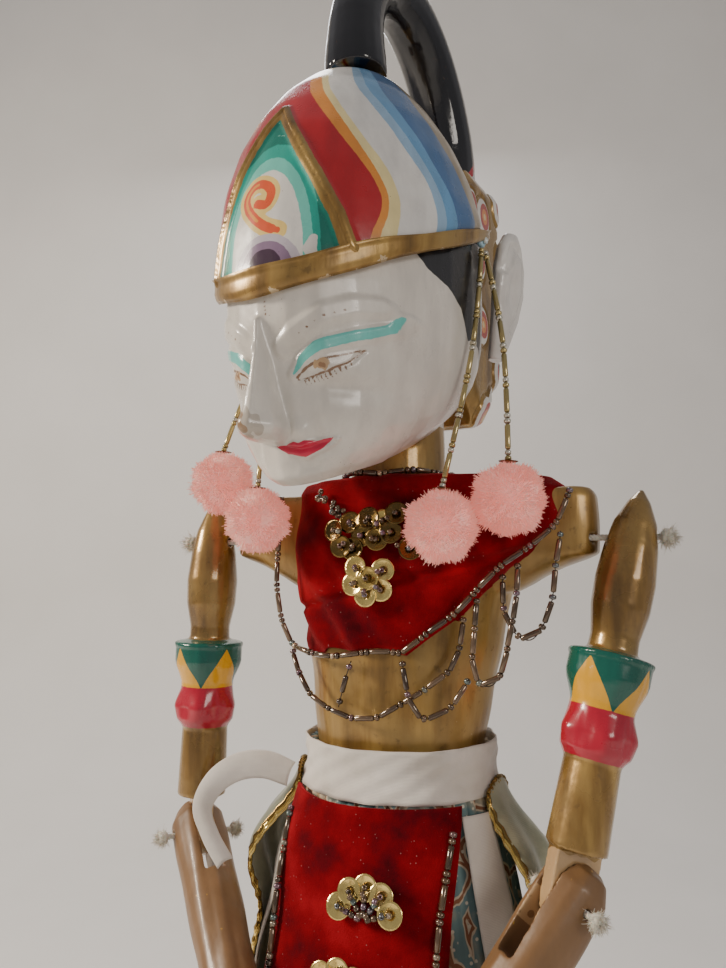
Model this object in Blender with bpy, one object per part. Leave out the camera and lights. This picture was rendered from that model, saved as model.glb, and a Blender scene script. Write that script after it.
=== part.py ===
"""Wayang golek rod puppet on a turned stand.

Metres, +Z up. The puppet faces -Y and its own left hand is on +X. The origin is the middle of the
stand's underside. Run with: blender --background --python part.py
"""

import math

import bpy
from mathutils import Matrix, Vector

# Driving dimensions, in metres and degrees.
GAP = 0.0004                      # clearance between neighbouring pieces
BASE_RADIUS = 0.055
BASE_HEIGHT = 0.045               # top of the boss that takes the rod
SOCKET_RADIUS = 0.0064
SOCKET_FLOOR = 0.008
ROD_RADIUS = 0.0060
ROD_HANDLE_RADIUS = 0.0085        # the rod is thicker below the torso, which rests on the step
TORSO_BOTTOM = 0.300
WAIST = 0.330
TORSO_TOP = 0.430
SHOULDER_HALF = 0.0745            # half the length of the shoulder bar
SHOULDER_REACH = 0.0861           # from the bar's middle to the middle of each upper arm
LEAN = 0.0045                     # the carved chest leans this far to the puppet's left
CORD_Y = -0.0098                  # the shoulder cord runs in front of the rod's bore
CORD_Z = 0.4110
NECK_RADIUS = 0.0195
HEAD_YAW = -11.0                  # the head looks to the puppet's right
EAR_PIN = (0.0440, -0.0150, 0.5232)
UPPER_ARM = 0.1210                # shoulder cord to elbow cord
FOREARM = 0.1080                  # elbow cord to wrist cord
HAND = 0.0520
CONTROL_ROD = 0.2000
SKIRT_HEM = 0.1000
POMPOM_RADIUS = 0.0122
BEAD = 0.0014                     # radius of a string of beads

for old in list(bpy.data.objects):
    bpy.data.objects.remove(old)


# ---------------------------------------------------------------- helpers

def material(name, color, roughness, metallic=0.0):
    made = bpy.data.materials.get(name)
    if made:
        return made
    made = bpy.data.materials.new(name)
    made.use_nodes = True
    shader = made.node_tree.nodes["Principled BSDF"]
    shader.inputs["Base Color"].default_value = (*color, 1.0)
    shader.inputs["Roughness"].default_value = roughness
    shader.inputs["Metallic"].default_value = metallic
    made.diffuse_color = (*color, 1.0)
    return made


def add(name, verts, faces, mat, parent=None, smooth=True):
    """A mesh object from points and faces."""
    mesh = bpy.data.meshes.new(name)
    mesh.from_pydata([tuple(v) for v in verts], [], faces)
    mesh.validate()
    mesh.update()
    mesh.materials.append(mat)
    if smooth:
        mesh.shade_smooth()
    obj = bpy.data.objects.new(name, mesh)
    bpy.context.scene.collection.objects.link(obj)
    obj.parent = parent
    return obj


def loft(rings, closed=False):
    """Points and faces of a solid through rings of equal length, capped unless it closes on itself."""
    count = len(rings[0])
    verts = [point for ring in rings for point in ring]
    faces = []
    pairs = len(rings) if closed else len(rings) - 1
    for i in range(pairs):
        low = i * count
        high = ((i + 1) % len(rings)) * count
        for k in range(count):
            after = (k + 1) % count
            faces.append((low + k, low + after, high + after, high + k))
    if not closed:
        faces.append(tuple(reversed(range(count))))
        faces.append(tuple(range((len(rings) - 1) * count, len(rings) * count)))
    return verts, faces


def oval(z, half_x, half_y, count=28, power=2.0, waves=0, depth=0.0, middle=(0.0, 0.0)):
    """A level ring: a superellipse, waved for pleats."""
    ring = []
    for k in range(count):
        angle = 2 * math.pi * k / count
        swell = 1 + depth * math.cos(waves * angle)
        c = math.cos(angle)
        s = math.sin(angle)
        x = half_x * math.copysign(abs(c) ** (2 / power), c) * swell
        y = half_y * math.copysign(abs(s) ** (2 / power), s) * swell
        ring.append(Vector((middle[0] + x, middle[1] + y, z)))
    return ring


def egg(front, back, half_x, widest, count=28):
    """A ring on a sloping plane: front and back are its (y, z) ends, widest the y of its widest place."""
    ring = []
    for k in range(count):
        angle = 2 * math.pi * k / count
        s = math.sin(angle)
        reach = (back[0] - widest) if s > 0 else (widest - front[0])
        y = widest + reach * s
        z = front[1] + (back[1] - front[1]) * (y - front[0]) / (back[0] - front[0])
        ring.append(Vector((half_x * math.cos(angle), y, z)))
    return ring


def turned(profile, count=32):
    """A solid of revolution about Z from (radius, z) points, bottom to top."""
    return loft([oval(z, r, r, count) for r, z in profile])


def smooth_path(points, count):
    """Evenly spaced points on a smooth curve through hand-picked points."""
    points = [Vector(p) for p in points]
    ends = [2 * points[0] - points[1], *points, 2 * points[-1] - points[-2]]
    fine = []
    for i in range(len(points) - 1):
        a, b, c, d = ends[i:i + 4]
        for step in range(24):
            t = step / 24
            fine.append(0.5 * (2 * b + (c - a) * t + (2 * a - 5 * b + 4 * c - d) * t * t
                               + (3 * b - a - 3 * c + d) * t ** 3))
    fine.append(points[-1])
    along = [0.0]
    for a, b in zip(fine, fine[1:]):
        along.append(along[-1] + (b - a).length)
    found = []
    at = 0
    for k in range(count):
        want = along[-1] * k / (count - 1)
        while at < len(along) - 2 and along[at + 1] < want:
            at += 1
        share = (want - along[at]) / (along[at + 1] - along[at])
        found.append(fine[at].lerp(fine[at + 1], share))
    return found


def swept(points, radii, sides=10, flat=1.0, closed=False):
    """A tube along the points with a radius at each. flat squeezes it across its first normal."""
    count = len(points)
    rings = []
    normal = None
    for i, point in enumerate(points):
        before = points[i - 1] if i or closed else points[0]
        after = points[(i + 1) % count] if i < count - 1 or closed else points[-1]
        along = (after - before).normalized()
        if normal is None:
            rough = Vector((0, 0, 1)) if abs(along.z) < 0.9 else Vector((1, 0, 0))
            normal = (rough - along * rough.dot(along)).normalized()
        normal = (normal - along * normal.dot(along)).normalized()
        side = along.cross(normal)
        ring = []
        for k in range(sides):
            angle = 2 * math.pi * k / sides
            ring.append(point + radii[i] * (math.cos(angle) * normal * flat
                                            + math.sin(angle) * side))
        rings.append(ring)
    return loft(rings, closed)


def bead_string(name, points, radius, mat, closed=False, parent=None):
    """Beads on a thread as one solid: a tube that is thin at every second point."""
    radii = [radius * (1.0 if i % 2 else 0.62) for i in range(len(points))]
    return add(name, *swept(points, radii, 6, closed=closed), mat, parent)


def cord(name, points, radius, mat):
    """A limp cord as a bevelled curve."""
    curve = bpy.data.curves.new(name, "CURVE")
    curve.dimensions = "3D"
    spline = curve.splines.new("POLY")
    spline.points.add(len(points) - 1)
    for place, point in zip(spline.points, points):
        place.co = (*point, 1.0)
    curve.bevel_depth = radius
    curve.bevel_resolution = 2
    curve.use_fill_caps = True
    curve.materials.append(mat)
    obj = bpy.data.objects.new(name, curve)
    bpy.context.scene.collection.objects.link(obj)
    return obj


def slab(name, place, steps_u, steps_v, thickness, mat, parent=None):
    """A thick sheet: place(u, v) gives a point and the direction its thickness goes in."""
    front = []
    back = []
    for j in range(steps_v + 1):
        for i in range(steps_u + 1):
            point, outward = place(i / steps_u, j / steps_v)
            front.append(point)
            back.append(point + outward * thickness)
    wide = steps_u + 1
    size = len(front)
    faces = []
    for j in range(steps_v):
        for i in range(steps_u):
            a = j * wide + i
            quad = (a, a + 1, a + 1 + wide, a + wide)
            faces.append(quad)
            faces.append(tuple(size + k for k in reversed(quad)))
    rim = [i for i in range(wide)]
    rim += [j * wide + steps_u for j in range(1, steps_v + 1)]
    rim += [steps_v * wide + i for i in range(steps_u - 1, -1, -1)]
    rim += [j * wide for j in range(steps_v - 1, 0, -1)]
    for a, b in zip(rim, rim[1:] + rim[:1]):
        faces.append((b, a, size + a, size + b))
    obj = add(name, front + back, faces, mat, parent, smooth=False)
    face_outward(obj)
    return obj


def volume_sign(obj):
    mesh = obj.data
    total = 0.0
    for polygon in mesh.polygons:
        corners = [mesh.vertices[i].co for i in polygon.vertices]
        for a, b in zip(corners[1:], corners[2:]):
            total += corners[0].dot(a.cross(b))
    return total


def face_outward(obj):
    if volume_sign(obj) < 0:
        obj.data.flip_normals()


def shell(name, outer, inner, mat, parent=None):
    """A wall between two stacks of level rings, open at the top and the bottom."""
    obj = add(name, *loft(outer + inner[::-1], closed=True), mat, parent)
    face_outward(obj)
    return obj


def hidden(name, verts, faces):
    """A cutting or joining body that is not a piece of the object."""
    obj = add(name, verts, faces, material("guide", (0.5, 0.5, 0.5), 0.5), smooth=False)
    face_outward(obj)
    obj.hide_render = True
    obj.display_type = "WIRE"
    return obj


def combine(obj, other, operation):
    modifier = obj.modifiers.new(other.name, "BOOLEAN")
    modifier.operation = operation
    modifier.solver = "EXACT"
    modifier.object = other


def rod_between(start, end, radius, count=16):
    """A plain cylinder from start to end."""
    start = Vector(start)
    end = Vector(end)
    return swept([start, (start + end) / 2, end], [radius] * 3, count)


def box_points(low, high):
    xs, ys, zs = zip(low, high)
    verts = [Vector((x, y, z)) for z in zs for y in ys for x in xs]
    faces = [(0, 2, 3, 1), (4, 5, 7, 6), (0, 1, 5, 4), (2, 6, 7, 3), (0, 4, 6, 2), (1, 3, 7, 5)]
    return verts, faces


def flower(name, centre, outward, radius, petals, thickness, mat):
    """A flat cluster of round sequins as one scalloped disc."""
    outward = Vector(outward).normalized()
    side = outward.cross(Vector((0, 0, 1))).normalized()
    up = side.cross(outward)
    rings = []
    for depth, share in ((0.0, 1.0), (thickness, 0.92)):
        ring = []
        for k in range(petals * 6):
            angle = 2 * math.pi * k / (petals * 6)
            reach = radius * share * (0.82 + 0.18 * abs(math.cos(petals * angle / 2)))
            ring.append(Vector(centre) + outward * depth
                        + reach * (math.cos(angle) * side + math.sin(angle) * up))
        rings.append(ring)
    obj = add(name, *loft(rings), mat, smooth=False)
    face_outward(obj)
    return obj


# ---------------------------------------------------------------- colours

def stand_wood():
    return material("stand_wood", (0.16, 0.07, 0.03), 0.35)


def raw_wood():
    return material("raw_wood", (0.62, 0.44, 0.26), 0.6)


def bronze():
    return material("bronze_paint", (0.45, 0.32, 0.14), 0.35, 0.4)


def brown_bronze():
    return material("brown_paint", (0.42, 0.27, 0.13), 0.5, 0.1)


def face_white():
    return material("white_lacquer", (0.86, 0.83, 0.79), 0.2)


def crown_paint():
    return material("crown_paint", (0.62, 0.10, 0.08), 0.25)


def black_lacquer():
    return material("black_lacquer", (0.02, 0.02, 0.025), 0.1)


def velvet():
    return material("red_velvet", (0.45, 0.01, 0.03), 0.9)


def ribbon_cloth():
    return material("white_ribbon", (0.86, 0.80, 0.74), 0.7)


def sash_cloth():
    return material("sage_satin", (0.42, 0.44, 0.33), 0.5)


def batik():
    return material("batik", (0.30, 0.40, 0.40), 0.8)


def dark_beads():
    return material("dark_beads", (0.25, 0.18, 0.15), 0.2)


def gold_beads():
    return material("gold_beads", (0.62, 0.48, 0.22), 0.2)


def gold_sequins():
    return material("gold_sequins", (0.80, 0.62, 0.18), 0.25)


def pink_wool():
    return material("pink_wool", (0.93, 0.58, 0.53), 0.95)


def twine():
    return material("cotton_twine", (0.85, 0.80, 0.70), 0.9)


# ---------------------------------------------------------------- stand and rod

def build_stand():
    profile = [
        (BASE_RADIUS - 0.002, 0.0), (BASE_RADIUS, 0.003), (BASE_RADIUS, 0.012),
        (BASE_RADIUS - 0.006, 0.018), (0.026, 0.021), (0.0175, 0.028), (0.0145, BASE_HEIGHT),
    ]
    base = add("display_base", *turned(profile, 48), stand_wood())
    socket = turned([(SOCKET_RADIUS, SOCKET_FLOOR), (SOCKET_RADIUS, BASE_HEIGHT + 0.01)], 24)
    combine(base, hidden("socket_cutter", *socket), "DIFFERENCE")


def build_rod():
    profile = [
        (ROD_RADIUS - 0.001, SOCKET_FLOOR + GAP), (ROD_RADIUS, 0.010), (ROD_RADIUS, 0.049),
        (ROD_HANDLE_RADIUS, 0.070), (ROD_HANDLE_RADIUS, TORSO_BOTTOM - GAP),
        (ROD_RADIUS, TORSO_BOTTOM - GAP + 0.00005), (ROD_RADIUS, 0.4650),
    ]
    add("central_rod", *turned(profile, 24), raw_wood())


# ---------------------------------------------------------------- torso

TRUNK = [
    # z, half width, half depth
    (TORSO_BOTTOM, 0.0315, 0.0235), (WAIST, 0.0335, 0.0250), (0.360, 0.0378, 0.0257),
    (0.385, 0.0425, 0.0262), (0.405, 0.0455, 0.0262), (0.420, 0.0460, 0.0250),
    (TORSO_TOP, 0.0440, 0.0230),
]
SHOULDER_BAR = [
    (0.3910, 0.0440, 0.0140), (0.3965, 0.0530, 0.0160), (0.4020, 0.0660, 0.0173),
    (0.4055, SHOULDER_HALF, 0.0178), (0.4270, SHOULDER_HALF, 0.0173),
    (TORSO_TOP, SHOULDER_HALF - 0.0020, 0.0160),
]


def lean(z):
    return LEAN * max(0.0, z - WAIST) / (TORSO_TOP - WAIST)


def trunk_stack(grow=0.0):
    return [oval(z, a + grow, b + grow, 40, 2.1, middle=(lean(z), 0.0)) for z, a, b in TRUNK]


def bar_stack(grow=0.0):
    return [
        oval(z - grow * 0.5, a + grow, b + grow, 40, 4.5, middle=(LEAN, 0.0))
        for z, a, b in SHOULDER_BAR
    ]


def build_torso():
    torso = add("torso", *loft(trunk_stack()), bronze())
    combine(torso, hidden("shoulder_bar_joiner", *loft(bar_stack())), "UNION")
    bore = turned([(ROD_RADIUS + 0.0003, 0.28), (ROD_RADIUS + 0.0003, 0.45)], 24)
    combine(torso, hidden("rod_bore_cutter", *bore), "DIFFERENCE")
    cord_hole = rod_between((-0.12, CORD_Y, CORD_Z), (0.12, CORD_Y, CORD_Z), 0.0019)
    combine(torso, hidden("shoulder_bore_cutter", *cord_hole), "DIFFERENCE")


def build_shoulder_cord():
    reach = SHOULDER_REACH + 0.0150
    stations = [
        (-reach, 0.0012), (-reach + 0.002, 0.0032), (-reach + 0.004, 0.0012),
        (0.0, 0.0013), (reach - 0.004, 0.0012), (reach - 0.002, 0.0032), (reach, 0.0012),
    ]
    points = [Vector((LEAN + x, CORD_Y, CORD_Z)) for x, _ in stations]
    add("shoulder_cord", *swept(points, [r for _, r in stations], 10), twine())


BIB = [
    # z, x of the middle, half width, half depth, squareness
    (0.3680, 0.0030, 0.0385, 0.0300, 2.3), (0.3840, 0.0010, 0.0390, 0.0303, 2.4),
    (0.3940, 0.0020, 0.0425, 0.0303, 2.6), (0.4010, 0.0060, 0.0475, 0.0300, 2.8),
    (0.4080, 0.0105, 0.0525, 0.0298, 3.0), (0.4200, 0.0135, 0.0545, 0.0285, 3.0),
    (0.4335, 0.0140, 0.0540, 0.0262, 3.0),
]


def build_bib():
    rings = [oval(z, a, b, 40, p, middle=(x, 0.0)) for z, x, a, b, p in BIB]
    bib = add("velvet_bib", *loft(rings), velvet())
    top = TORSO_TOP + 2 * GAP
    trunk = trunk_stack(GAP) + [oval(top, 0.0440, 0.0230, 40, 2.1, middle=(LEAN, 0.0))]
    bar = bar_stack(GAP) + [oval(top - GAP, 0.0720, 0.0160, 40, 4.5, middle=(LEAN, 0.0))]
    cutter = hidden("bib_torso_cutter", *loft(trunk))
    combine(cutter, hidden("bib_bar_joiner", *loft(bar)), "UNION")
    combine(bib, cutter, "DIFFERENCE")
    neck = turned([(NECK_RADIUS + 0.0010, 0.42), (NECK_RADIUS + 0.0010, 0.45)], 32)
    combine(bib, hidden("bib_neck_cutter", *neck), "DIFFERENCE")


# The string of beads sewn down the bib's right side, along its lower edge and up its left side.
BIB_EDGE = [
    (-0.0425, -0.0225, 0.4290), (-0.0430, -0.0235, 0.4100), (-0.0430, -0.0250, 0.3950),
    (-0.0410, -0.0240, 0.3800), (-0.0375, -0.0215, 0.3705), (-0.0262, -0.0280, 0.3680),
    (-0.0165, -0.0312, 0.3675), (-0.0060, -0.0324, 0.3690), (0.0050, -0.0325, 0.3705),
    (0.0114, -0.0322, 0.3700), (0.0205, -0.0312, 0.3770), (0.0313, -0.0292, 0.3850),
    (0.0400, -0.0288, 0.3945), (0.0480, -0.0288, 0.4020), (0.0570, -0.0278, 0.4080),
    (0.0660, -0.0262, 0.4160), (0.0710, -0.0245, 0.4280),
]


def ring_points(z, half_x, half_y, count):
    return [
        Vector((half_x * math.cos(a), half_y * math.sin(a), z))
        for a in (2 * math.pi * k / count for k in range(count))
    ]


def build_bib_beads():
    bead_string("bib_bead_edging", smooth_path(BIB_EDGE, 81), BEAD, dark_beads())
    collar = ring_points(0.4356, NECK_RADIUS + 0.0028, NECK_RADIUS + 0.0028, 44)
    bead_string("neck_beads", collar, BEAD, dark_beads(), closed=True)
    link = smooth_path([(-0.0087, -0.0297, 0.3640), (-0.0110, -0.0300, 0.3590),
                        (-0.0140, -0.0280, 0.3530)], 9)
    bead_string("bead_link_front", link, 0.0012, dark_beads())


def build_chest_sequins():
    upper = (-0.0030, -0.0306, 0.4110)
    lower = (-0.0008, -0.0327, 0.3960)
    flower("chest_sequins_upper", upper, (0, -1, 0), 0.0150, 7, 0.0014, gold_sequins())
    flower("chest_sequins_lower", lower, (0, -1, 0), 0.0098, 5, 0.0014, gold_sequins())


# Each bead net loop hangs from the bib's edge between two places, in metres.
BEAD_LOOPS = {
    "bead_loop_front_long": [
        (-0.0382, -0.0195, 0.3682), (-0.0365, -0.0208, 0.3630), (-0.0315, -0.0250, 0.3580),
        (-0.0260, -0.0278, 0.3520),
        (-0.0173, -0.0300, 0.3480), (-0.0069, -0.0312, 0.3455), (0.0017, -0.0314, 0.3466),
        (0.0097, -0.0308, 0.3512), (0.0174, -0.0295, 0.3559), (0.0240, -0.0278, 0.3610),
        (0.0290, -0.0262, 0.3655), (0.0316, -0.0262, 0.3740), (0.0330, -0.0272, 0.3828),
    ],
    "bead_loop_front_short": [
        (0.0115, -0.0320, 0.3672), (0.0120, -0.0320, 0.3630), (0.0132, -0.0328, 0.3580),
        (0.0150, -0.0338, 0.3520),
        (0.0180, -0.0328, 0.3480), (0.0225, -0.0305, 0.3478), (0.0281, -0.0285, 0.3513),
        (0.0325, -0.0257, 0.3580), (0.0342, -0.0260, 0.3612),
    ],
    "bead_loop_side_inner": [
        (0.0379, -0.0272, 0.3895), (0.0367, -0.0288, 0.3732), (0.0360, -0.0284, 0.3648),
        (0.0388, -0.0275, 0.3597), (0.0434, -0.0275, 0.3600), (0.0477, -0.0285, 0.3676),
        (0.0492, -0.0294, 0.3770), (0.0515, -0.0296, 0.3850), (0.0524, -0.0290, 0.3935),
        (0.0525, -0.0268, 0.4018),
    ],
    "bead_loop_side_outer": [
        (0.0470, -0.0262, 0.3982), (0.0470, -0.0255, 0.3863), (0.0491, -0.0255, 0.3796),
        (0.0543, -0.0255, 0.3753), (0.0588, -0.0255, 0.3777), (0.0635, -0.0255, 0.3881),
        (0.0655, -0.0255, 0.4030), (0.0667, -0.0248, 0.4090),
        (0.0672, -0.0246, 0.4130),
    ],
}


def build_bead_loops():
    for name, route in BEAD_LOOPS.items():
        cord(name, smooth_path(route, 22), 0.0012, dark_beads())


# ---------------------------------------------------------------- waist cloths

SKIRT_RINGS = [
    # z, half width, half depth
    (SKIRT_HEM, 0.0660, 0.0560), (0.150, 0.0630, 0.0530), (0.200, 0.0600, 0.0500),
    (0.250, 0.0550, 0.0455), (0.285, 0.0480, 0.0395), (0.310, 0.0400, 0.0315),
    (0.326, 0.0369, 0.0286), (0.333, 0.0367, 0.0285),
]
SKIRT_WALL = 0.0018


def skirt_size(z):
    """The skirt's half width and half depth at a height."""
    for low, high in zip(SKIRT_RINGS, SKIRT_RINGS[1:]):
        if z <= high[0]:
            share = max(0.0, (z - low[0]) / (high[0] - low[0]))
            return tuple(low[i] + share * (high[i] - low[i]) for i in (1, 2))
    return SKIRT_RINGS[-1][1:]


def skirt_stack(shrink):
    rings = []
    for z, half_x, half_y in SKIRT_RINGS:
        depth = 0.022 * min(1.0, max(0.0, (0.31 - z) / 0.12))
        rings.append(oval(z, half_x - shrink, half_y - shrink, 60, 2.0, 15, depth))
    return rings


def build_skirt():
    shell("skirt", skirt_stack(0.0), skirt_stack(SKIRT_WALL), batik())


def on_skirt(angle, z, lift):
    """A point on the skirt's front or side and its outward direction; angle 0 is straight ahead."""
    half_x, half_y = skirt_size(z)
    depth = 0.022 * min(1.0, max(0.0, (0.31 - z) / 0.12))
    outward = Vector((math.sin(angle) * half_y, -math.cos(angle) * half_x, 0)).normalized()
    point = Vector((math.sin(angle) * half_x, -math.cos(angle) * half_y, 0)) * (1 + depth)
    return Vector((point.x, point.y, z)) + outward * lift, outward


def build_ribbons():
    outer = [oval(z, 0.0382, 0.0300, 48) for z in (0.3175, 0.3245, 0.3350)]
    inner = [oval(z, 0.0373, 0.0291, 48) for z in (0.3175, 0.3245, 0.3350)]
    outer[0] = oval(0.3175, 0.0402, 0.0320, 48)
    inner[0] = oval(0.3175, 0.0393, 0.0311, 48)
    shell("waist_ribbon", outer, inner, ribbon_cloth())
    route = smooth_path([
        (-0.0415, -0.0165, 0.3180), (-0.0540, -0.0205, 0.3225), (-0.0680, -0.0260, 0.3170),
        (-0.0720, -0.0300, 0.3070), (-0.0660, -0.0320, 0.2960), (-0.0590, -0.0310, 0.2880),
    ], 14)
    add("ribbon_loop", *swept(route, [0.0055] * 14, 8, flat=0.12), ribbon_cloth())

    def tail(side, angle, wide, top, low):
        def place(u, v):
            z = top + (low - top) * v
            return on_skirt(side * (angle + (u - 0.5) * wide + 0.05 * v), z, 0.0012)
        return place

    slab("ribbon_tail_left", tail(1, 0.99, 0.34, 0.3080, 0.180), 3, 12, 0.0010, ribbon_cloth())
    slab("ribbon_tail_right", tail(-1, 1.10, 0.20, 0.3080, 0.205), 3, 12, 0.0010, ribbon_cloth())


APRON_TOP = 0.3160
APRON_LOW = 0.1450
APRON_SHIFT = -0.11               # the apron hangs a little to the puppet's right, in radians


def apron_angle(z):
    """The apron keeps one width, so it covers less of the wider skirt below."""
    half_x, _ = skirt_size(z)
    return math.asin(min(0.95, 0.0335 / (half_x + 0.003)))


def build_apron():
    def place(u, v):
        z = APRON_TOP + (APRON_LOW - APRON_TOP) * v
        return on_skirt(APRON_SHIFT + apron_angle(z) * (2 * u - 1), z, 0.0022)

    slab("apron_panel", place, 10, 16, 0.0024, velvet())
    for side, name in ((1, "apron_beads_left"), (-1, "apron_beads_right")):
        points = []
        for k in range(45):
            z = APRON_TOP - 0.006 + (APRON_LOW + 0.012 - APRON_TOP) * k / 44
            points.append(on_skirt(APRON_SHIFT + side * (apron_angle(z) - 0.10), z, 0.0066)[0])
        bead_string(name, points, BEAD, dark_beads())
    for name, z in (("apron_sequins_upper", 0.287), ("apron_sequins_lower", 0.257)):
        half_x, half_y = skirt_size(z)
        low = on_skirt(0, z - 0.012, 0.0)[0]
        high = on_skirt(0, z + 0.012, 0.0)[0]
        slope = (high - low).normalized()
        outward = Vector((0, -slope.z, slope.y))
        centre = on_skirt(0, z, 0.0056)[0]
        flower(name, centre, outward, 0.0130, 6, 0.0016, gold_sequins())


def build_sashes():
    for side, name in ((1, "hip_sash_left"), (-1, "hip_sash_right")):
        def place(u, v, side=side):
            angle = side * (1.28 + 0.72 * u)
            z = 0.3140 - 0.120 * v
            flare = 0.0090 * math.sin(math.pi * min(1.0, v * 2.4)) ** 2 if v < 0.42 else 0.0
            return on_skirt(angle, z, 0.0012 + flare)

        slab(name, place, 8, 12, 0.0026, sash_cloth())


# ---------------------------------------------------------------- head

SKULL = [
    # front (y, z), back (y, z), half width, y of the widest place
    ((-0.0640, 0.4300), (-0.0120, 0.4490), 0.0110, -0.040),
    ((-0.0725, 0.4268), (0.0040, 0.4555), 0.0190, -0.036),
    ((-0.0765, 0.4290), (0.0120, 0.4620), 0.0255, -0.030),
    ((-0.0785, 0.4330), (0.0170, 0.4680), 0.0310, -0.026),
    ((-0.0800, 0.4390), (0.0205, 0.4730), 0.0352, -0.024),
    ((-0.0825, 0.4470), (0.0230, 0.4780), 0.0386, -0.022),
    ((-0.0850, 0.4560), (0.0240, 0.4840), 0.0408, -0.020),
    ((-0.0875, 0.4660), (0.0250, 0.4910), 0.0422, -0.020),
    ((-0.0905, 0.4765), (0.0255, 0.4990), 0.0428, -0.020),
    ((-0.0920, 0.4880), (0.0255, 0.5080), 0.0430, -0.020),
    ((-0.0915, 0.5020), (0.0250, 0.5180), 0.0430, -0.020),
    ((-0.0880, 0.5220), (0.0240, 0.5340), 0.0425, -0.020),
    ((-0.0820, 0.5450), (0.0220, 0.5500), 0.0405, -0.022),
    ((-0.0740, 0.5600), (0.0180, 0.5640), 0.0350, -0.026),
]
BAND_FRONT = (-0.0900, 0.4926)    # the crown's lower rim, in the head's own y and z
BAND_SIDE = (-0.0150, 0.5270)
NOSE = [
    # z, half width, front y
    (0.4790, 0.0020, -0.0925), (0.4700, 0.0026, -0.0930), (0.4600, 0.0034, -0.0942),
    (0.4500, 0.0046, -0.0958), (0.4440, 0.0054, -0.0970), (0.4415, 0.0044, -0.0958),
    (0.4400, 0.0028, -0.0915),
]


def below_band(name, below, gap):
    """A big wedge that keeps only what is above the crown's rim, or only what is below it."""
    slope = (BAND_SIDE[1] - BAND_FRONT[1]) / (BAND_SIDE[0] - BAND_FRONT[0])
    ring = []
    shift = gap if below else -gap
    for y in (-0.16, 0.12):
        ring.append((y, BAND_FRONT[1] + slope * (y - BAND_FRONT[0]) + shift))
    far = 0.80 if below else 0.20
    outline = [ring[0], ring[1], (0.12, far), (-0.16, far)]
    rings = [[Vector((x, y, z)) for y, z in outline] for x in (-0.12, 0.12)]
    return hidden(name, *loft(rings))


def build_head(frame):
    head = add("head_carving", *loft([egg(*row) for row in SKULL]), face_white(), frame)
    neck = turned([(NECK_RADIUS, TORSO_TOP + GAP), (NECK_RADIUS, 0.450), (NECK_RADIUS - 0.001, 0.482)], 28)
    joiner = hidden("neck_joiner", *neck)
    joiner.parent = frame
    combine(head, joiner, "UNION")
    rings = []
    for z, half, front in NOSE[::-1]:
        rings.append([
            Vector((-half, -0.0800, z)), Vector((-half, (front - 0.0830) / 2, z)),
            Vector((-half * 0.30, front, z)), Vector((half * 0.30, front, z)),
            Vector((half, (front - 0.0830) / 2, z)), Vector((half, -0.0800, z)),
        ])
    nose = hidden("nose_joiner", *loft(rings))
    nose.parent = frame
    combine(head, nose, "UNION")
    rim = below_band("head_rim_cutter", True, -GAP / 2)
    rim.parent = frame
    combine(head, rim, "DIFFERENCE")
    bore = turned([(ROD_RADIUS + 0.0003, 0.41), (ROD_RADIUS + 0.0003, 0.4656)], 24)
    bore = hidden("head_bore_cutter", *bore)
    bore.parent = frame
    combine(head, bore, "DIFFERENCE")


CROWN = [
    # z, half width, front y, back y
    (0.4750, 0.0465, -0.0945, 0.0285), (0.4900, 0.0472, -0.0955, 0.0290),
    (0.5100, 0.0475, -0.0945, 0.0290), (0.5300, 0.0462, -0.0910, 0.0265),
    (0.5460, 0.0425, -0.0855, 0.0220), (0.5600, 0.0370, -0.0780, 0.0150),
    (0.5725, 0.0298, -0.0690, 0.0065), (0.5830, 0.0215, -0.0585, -0.0050),
    (0.5905, 0.0130, -0.0470, -0.0175), (0.5950, 0.0060, -0.0390, -0.0260),
]


def build_crown(frame):
    rings = [egg((f, z), (b, z), a, -0.024 - 0.09 * max(0.0, z - 0.50)) for z, a, f, b in CROWN]
    crown = add("crown", *loft(rings), crown_paint(), frame)
    rim = below_band("crown_rim_cutter", False, -GAP / 2)
    rim.parent = frame
    combine(crown, rim, "DIFFERENCE")


CURL_ROUTE = [
    (0, -0.0330, 0.5960), (0, -0.0335, 0.6080), (0, -0.0320, 0.6230), (0, -0.0250, 0.6390),
    (0, -0.0110, 0.6500), (0, 0.0080, 0.6525), (0, 0.0265, 0.6450), (0, 0.0410, 0.6300),
    (0, 0.0500, 0.6130), (0, 0.0530, 0.6010), (0, 0.0532, 0.5905),
]


def build_curl(frame):
    count = 30
    radii = []
    for k in range(count):
        t = k / (count - 1)
        bulb = 0.0022 * math.exp(-(t / 0.10) ** 2)
        radii.append(0.0105 + bulb + 0.0030 * t)
    curl = add("hair_curl", *swept(smooth_path(CURL_ROUTE, count), radii, 18), black_lacquer(), frame)
    face_outward(curl)


def build_back_ornament(frame):
    outline = [
        (0.0330, 0.4760), (0.0420, 0.4640), (0.0530, 0.4680), (0.0560, 0.4780), (0.0650, 0.4830),
        (0.0680, 0.4930), (0.0630, 0.5010), (0.0700, 0.5090), (0.0740, 0.5200), (0.0690, 0.5300),
        (0.0745, 0.5400), (0.0765, 0.5520), (0.0710, 0.5620), (0.0720, 0.5740), (0.0690, 0.5885),
        (0.0400, 0.5885), (0.0280, 0.5760), (0.0190, 0.5640), (0.0262, 0.5490), (0.0306, 0.5310),
        (0.0328, 0.5100),
    ]
    layers = ((-0.0200, 0.86), (-0.0150, 1.0), (0.0150, 1.0), (0.0200, 0.86))
    rings = []
    for x, share in layers:
        ring = []
        for y, z in outline:
            ring.append(Vector((x, 0.048 + (y - 0.048) * share, 0.527 + (z - 0.527) * share)))
        rings.append(ring)
    ornament = add("back_ornament", *loft(rings), crown_paint(), frame, smooth=False)
    face_outward(ornament)


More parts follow.
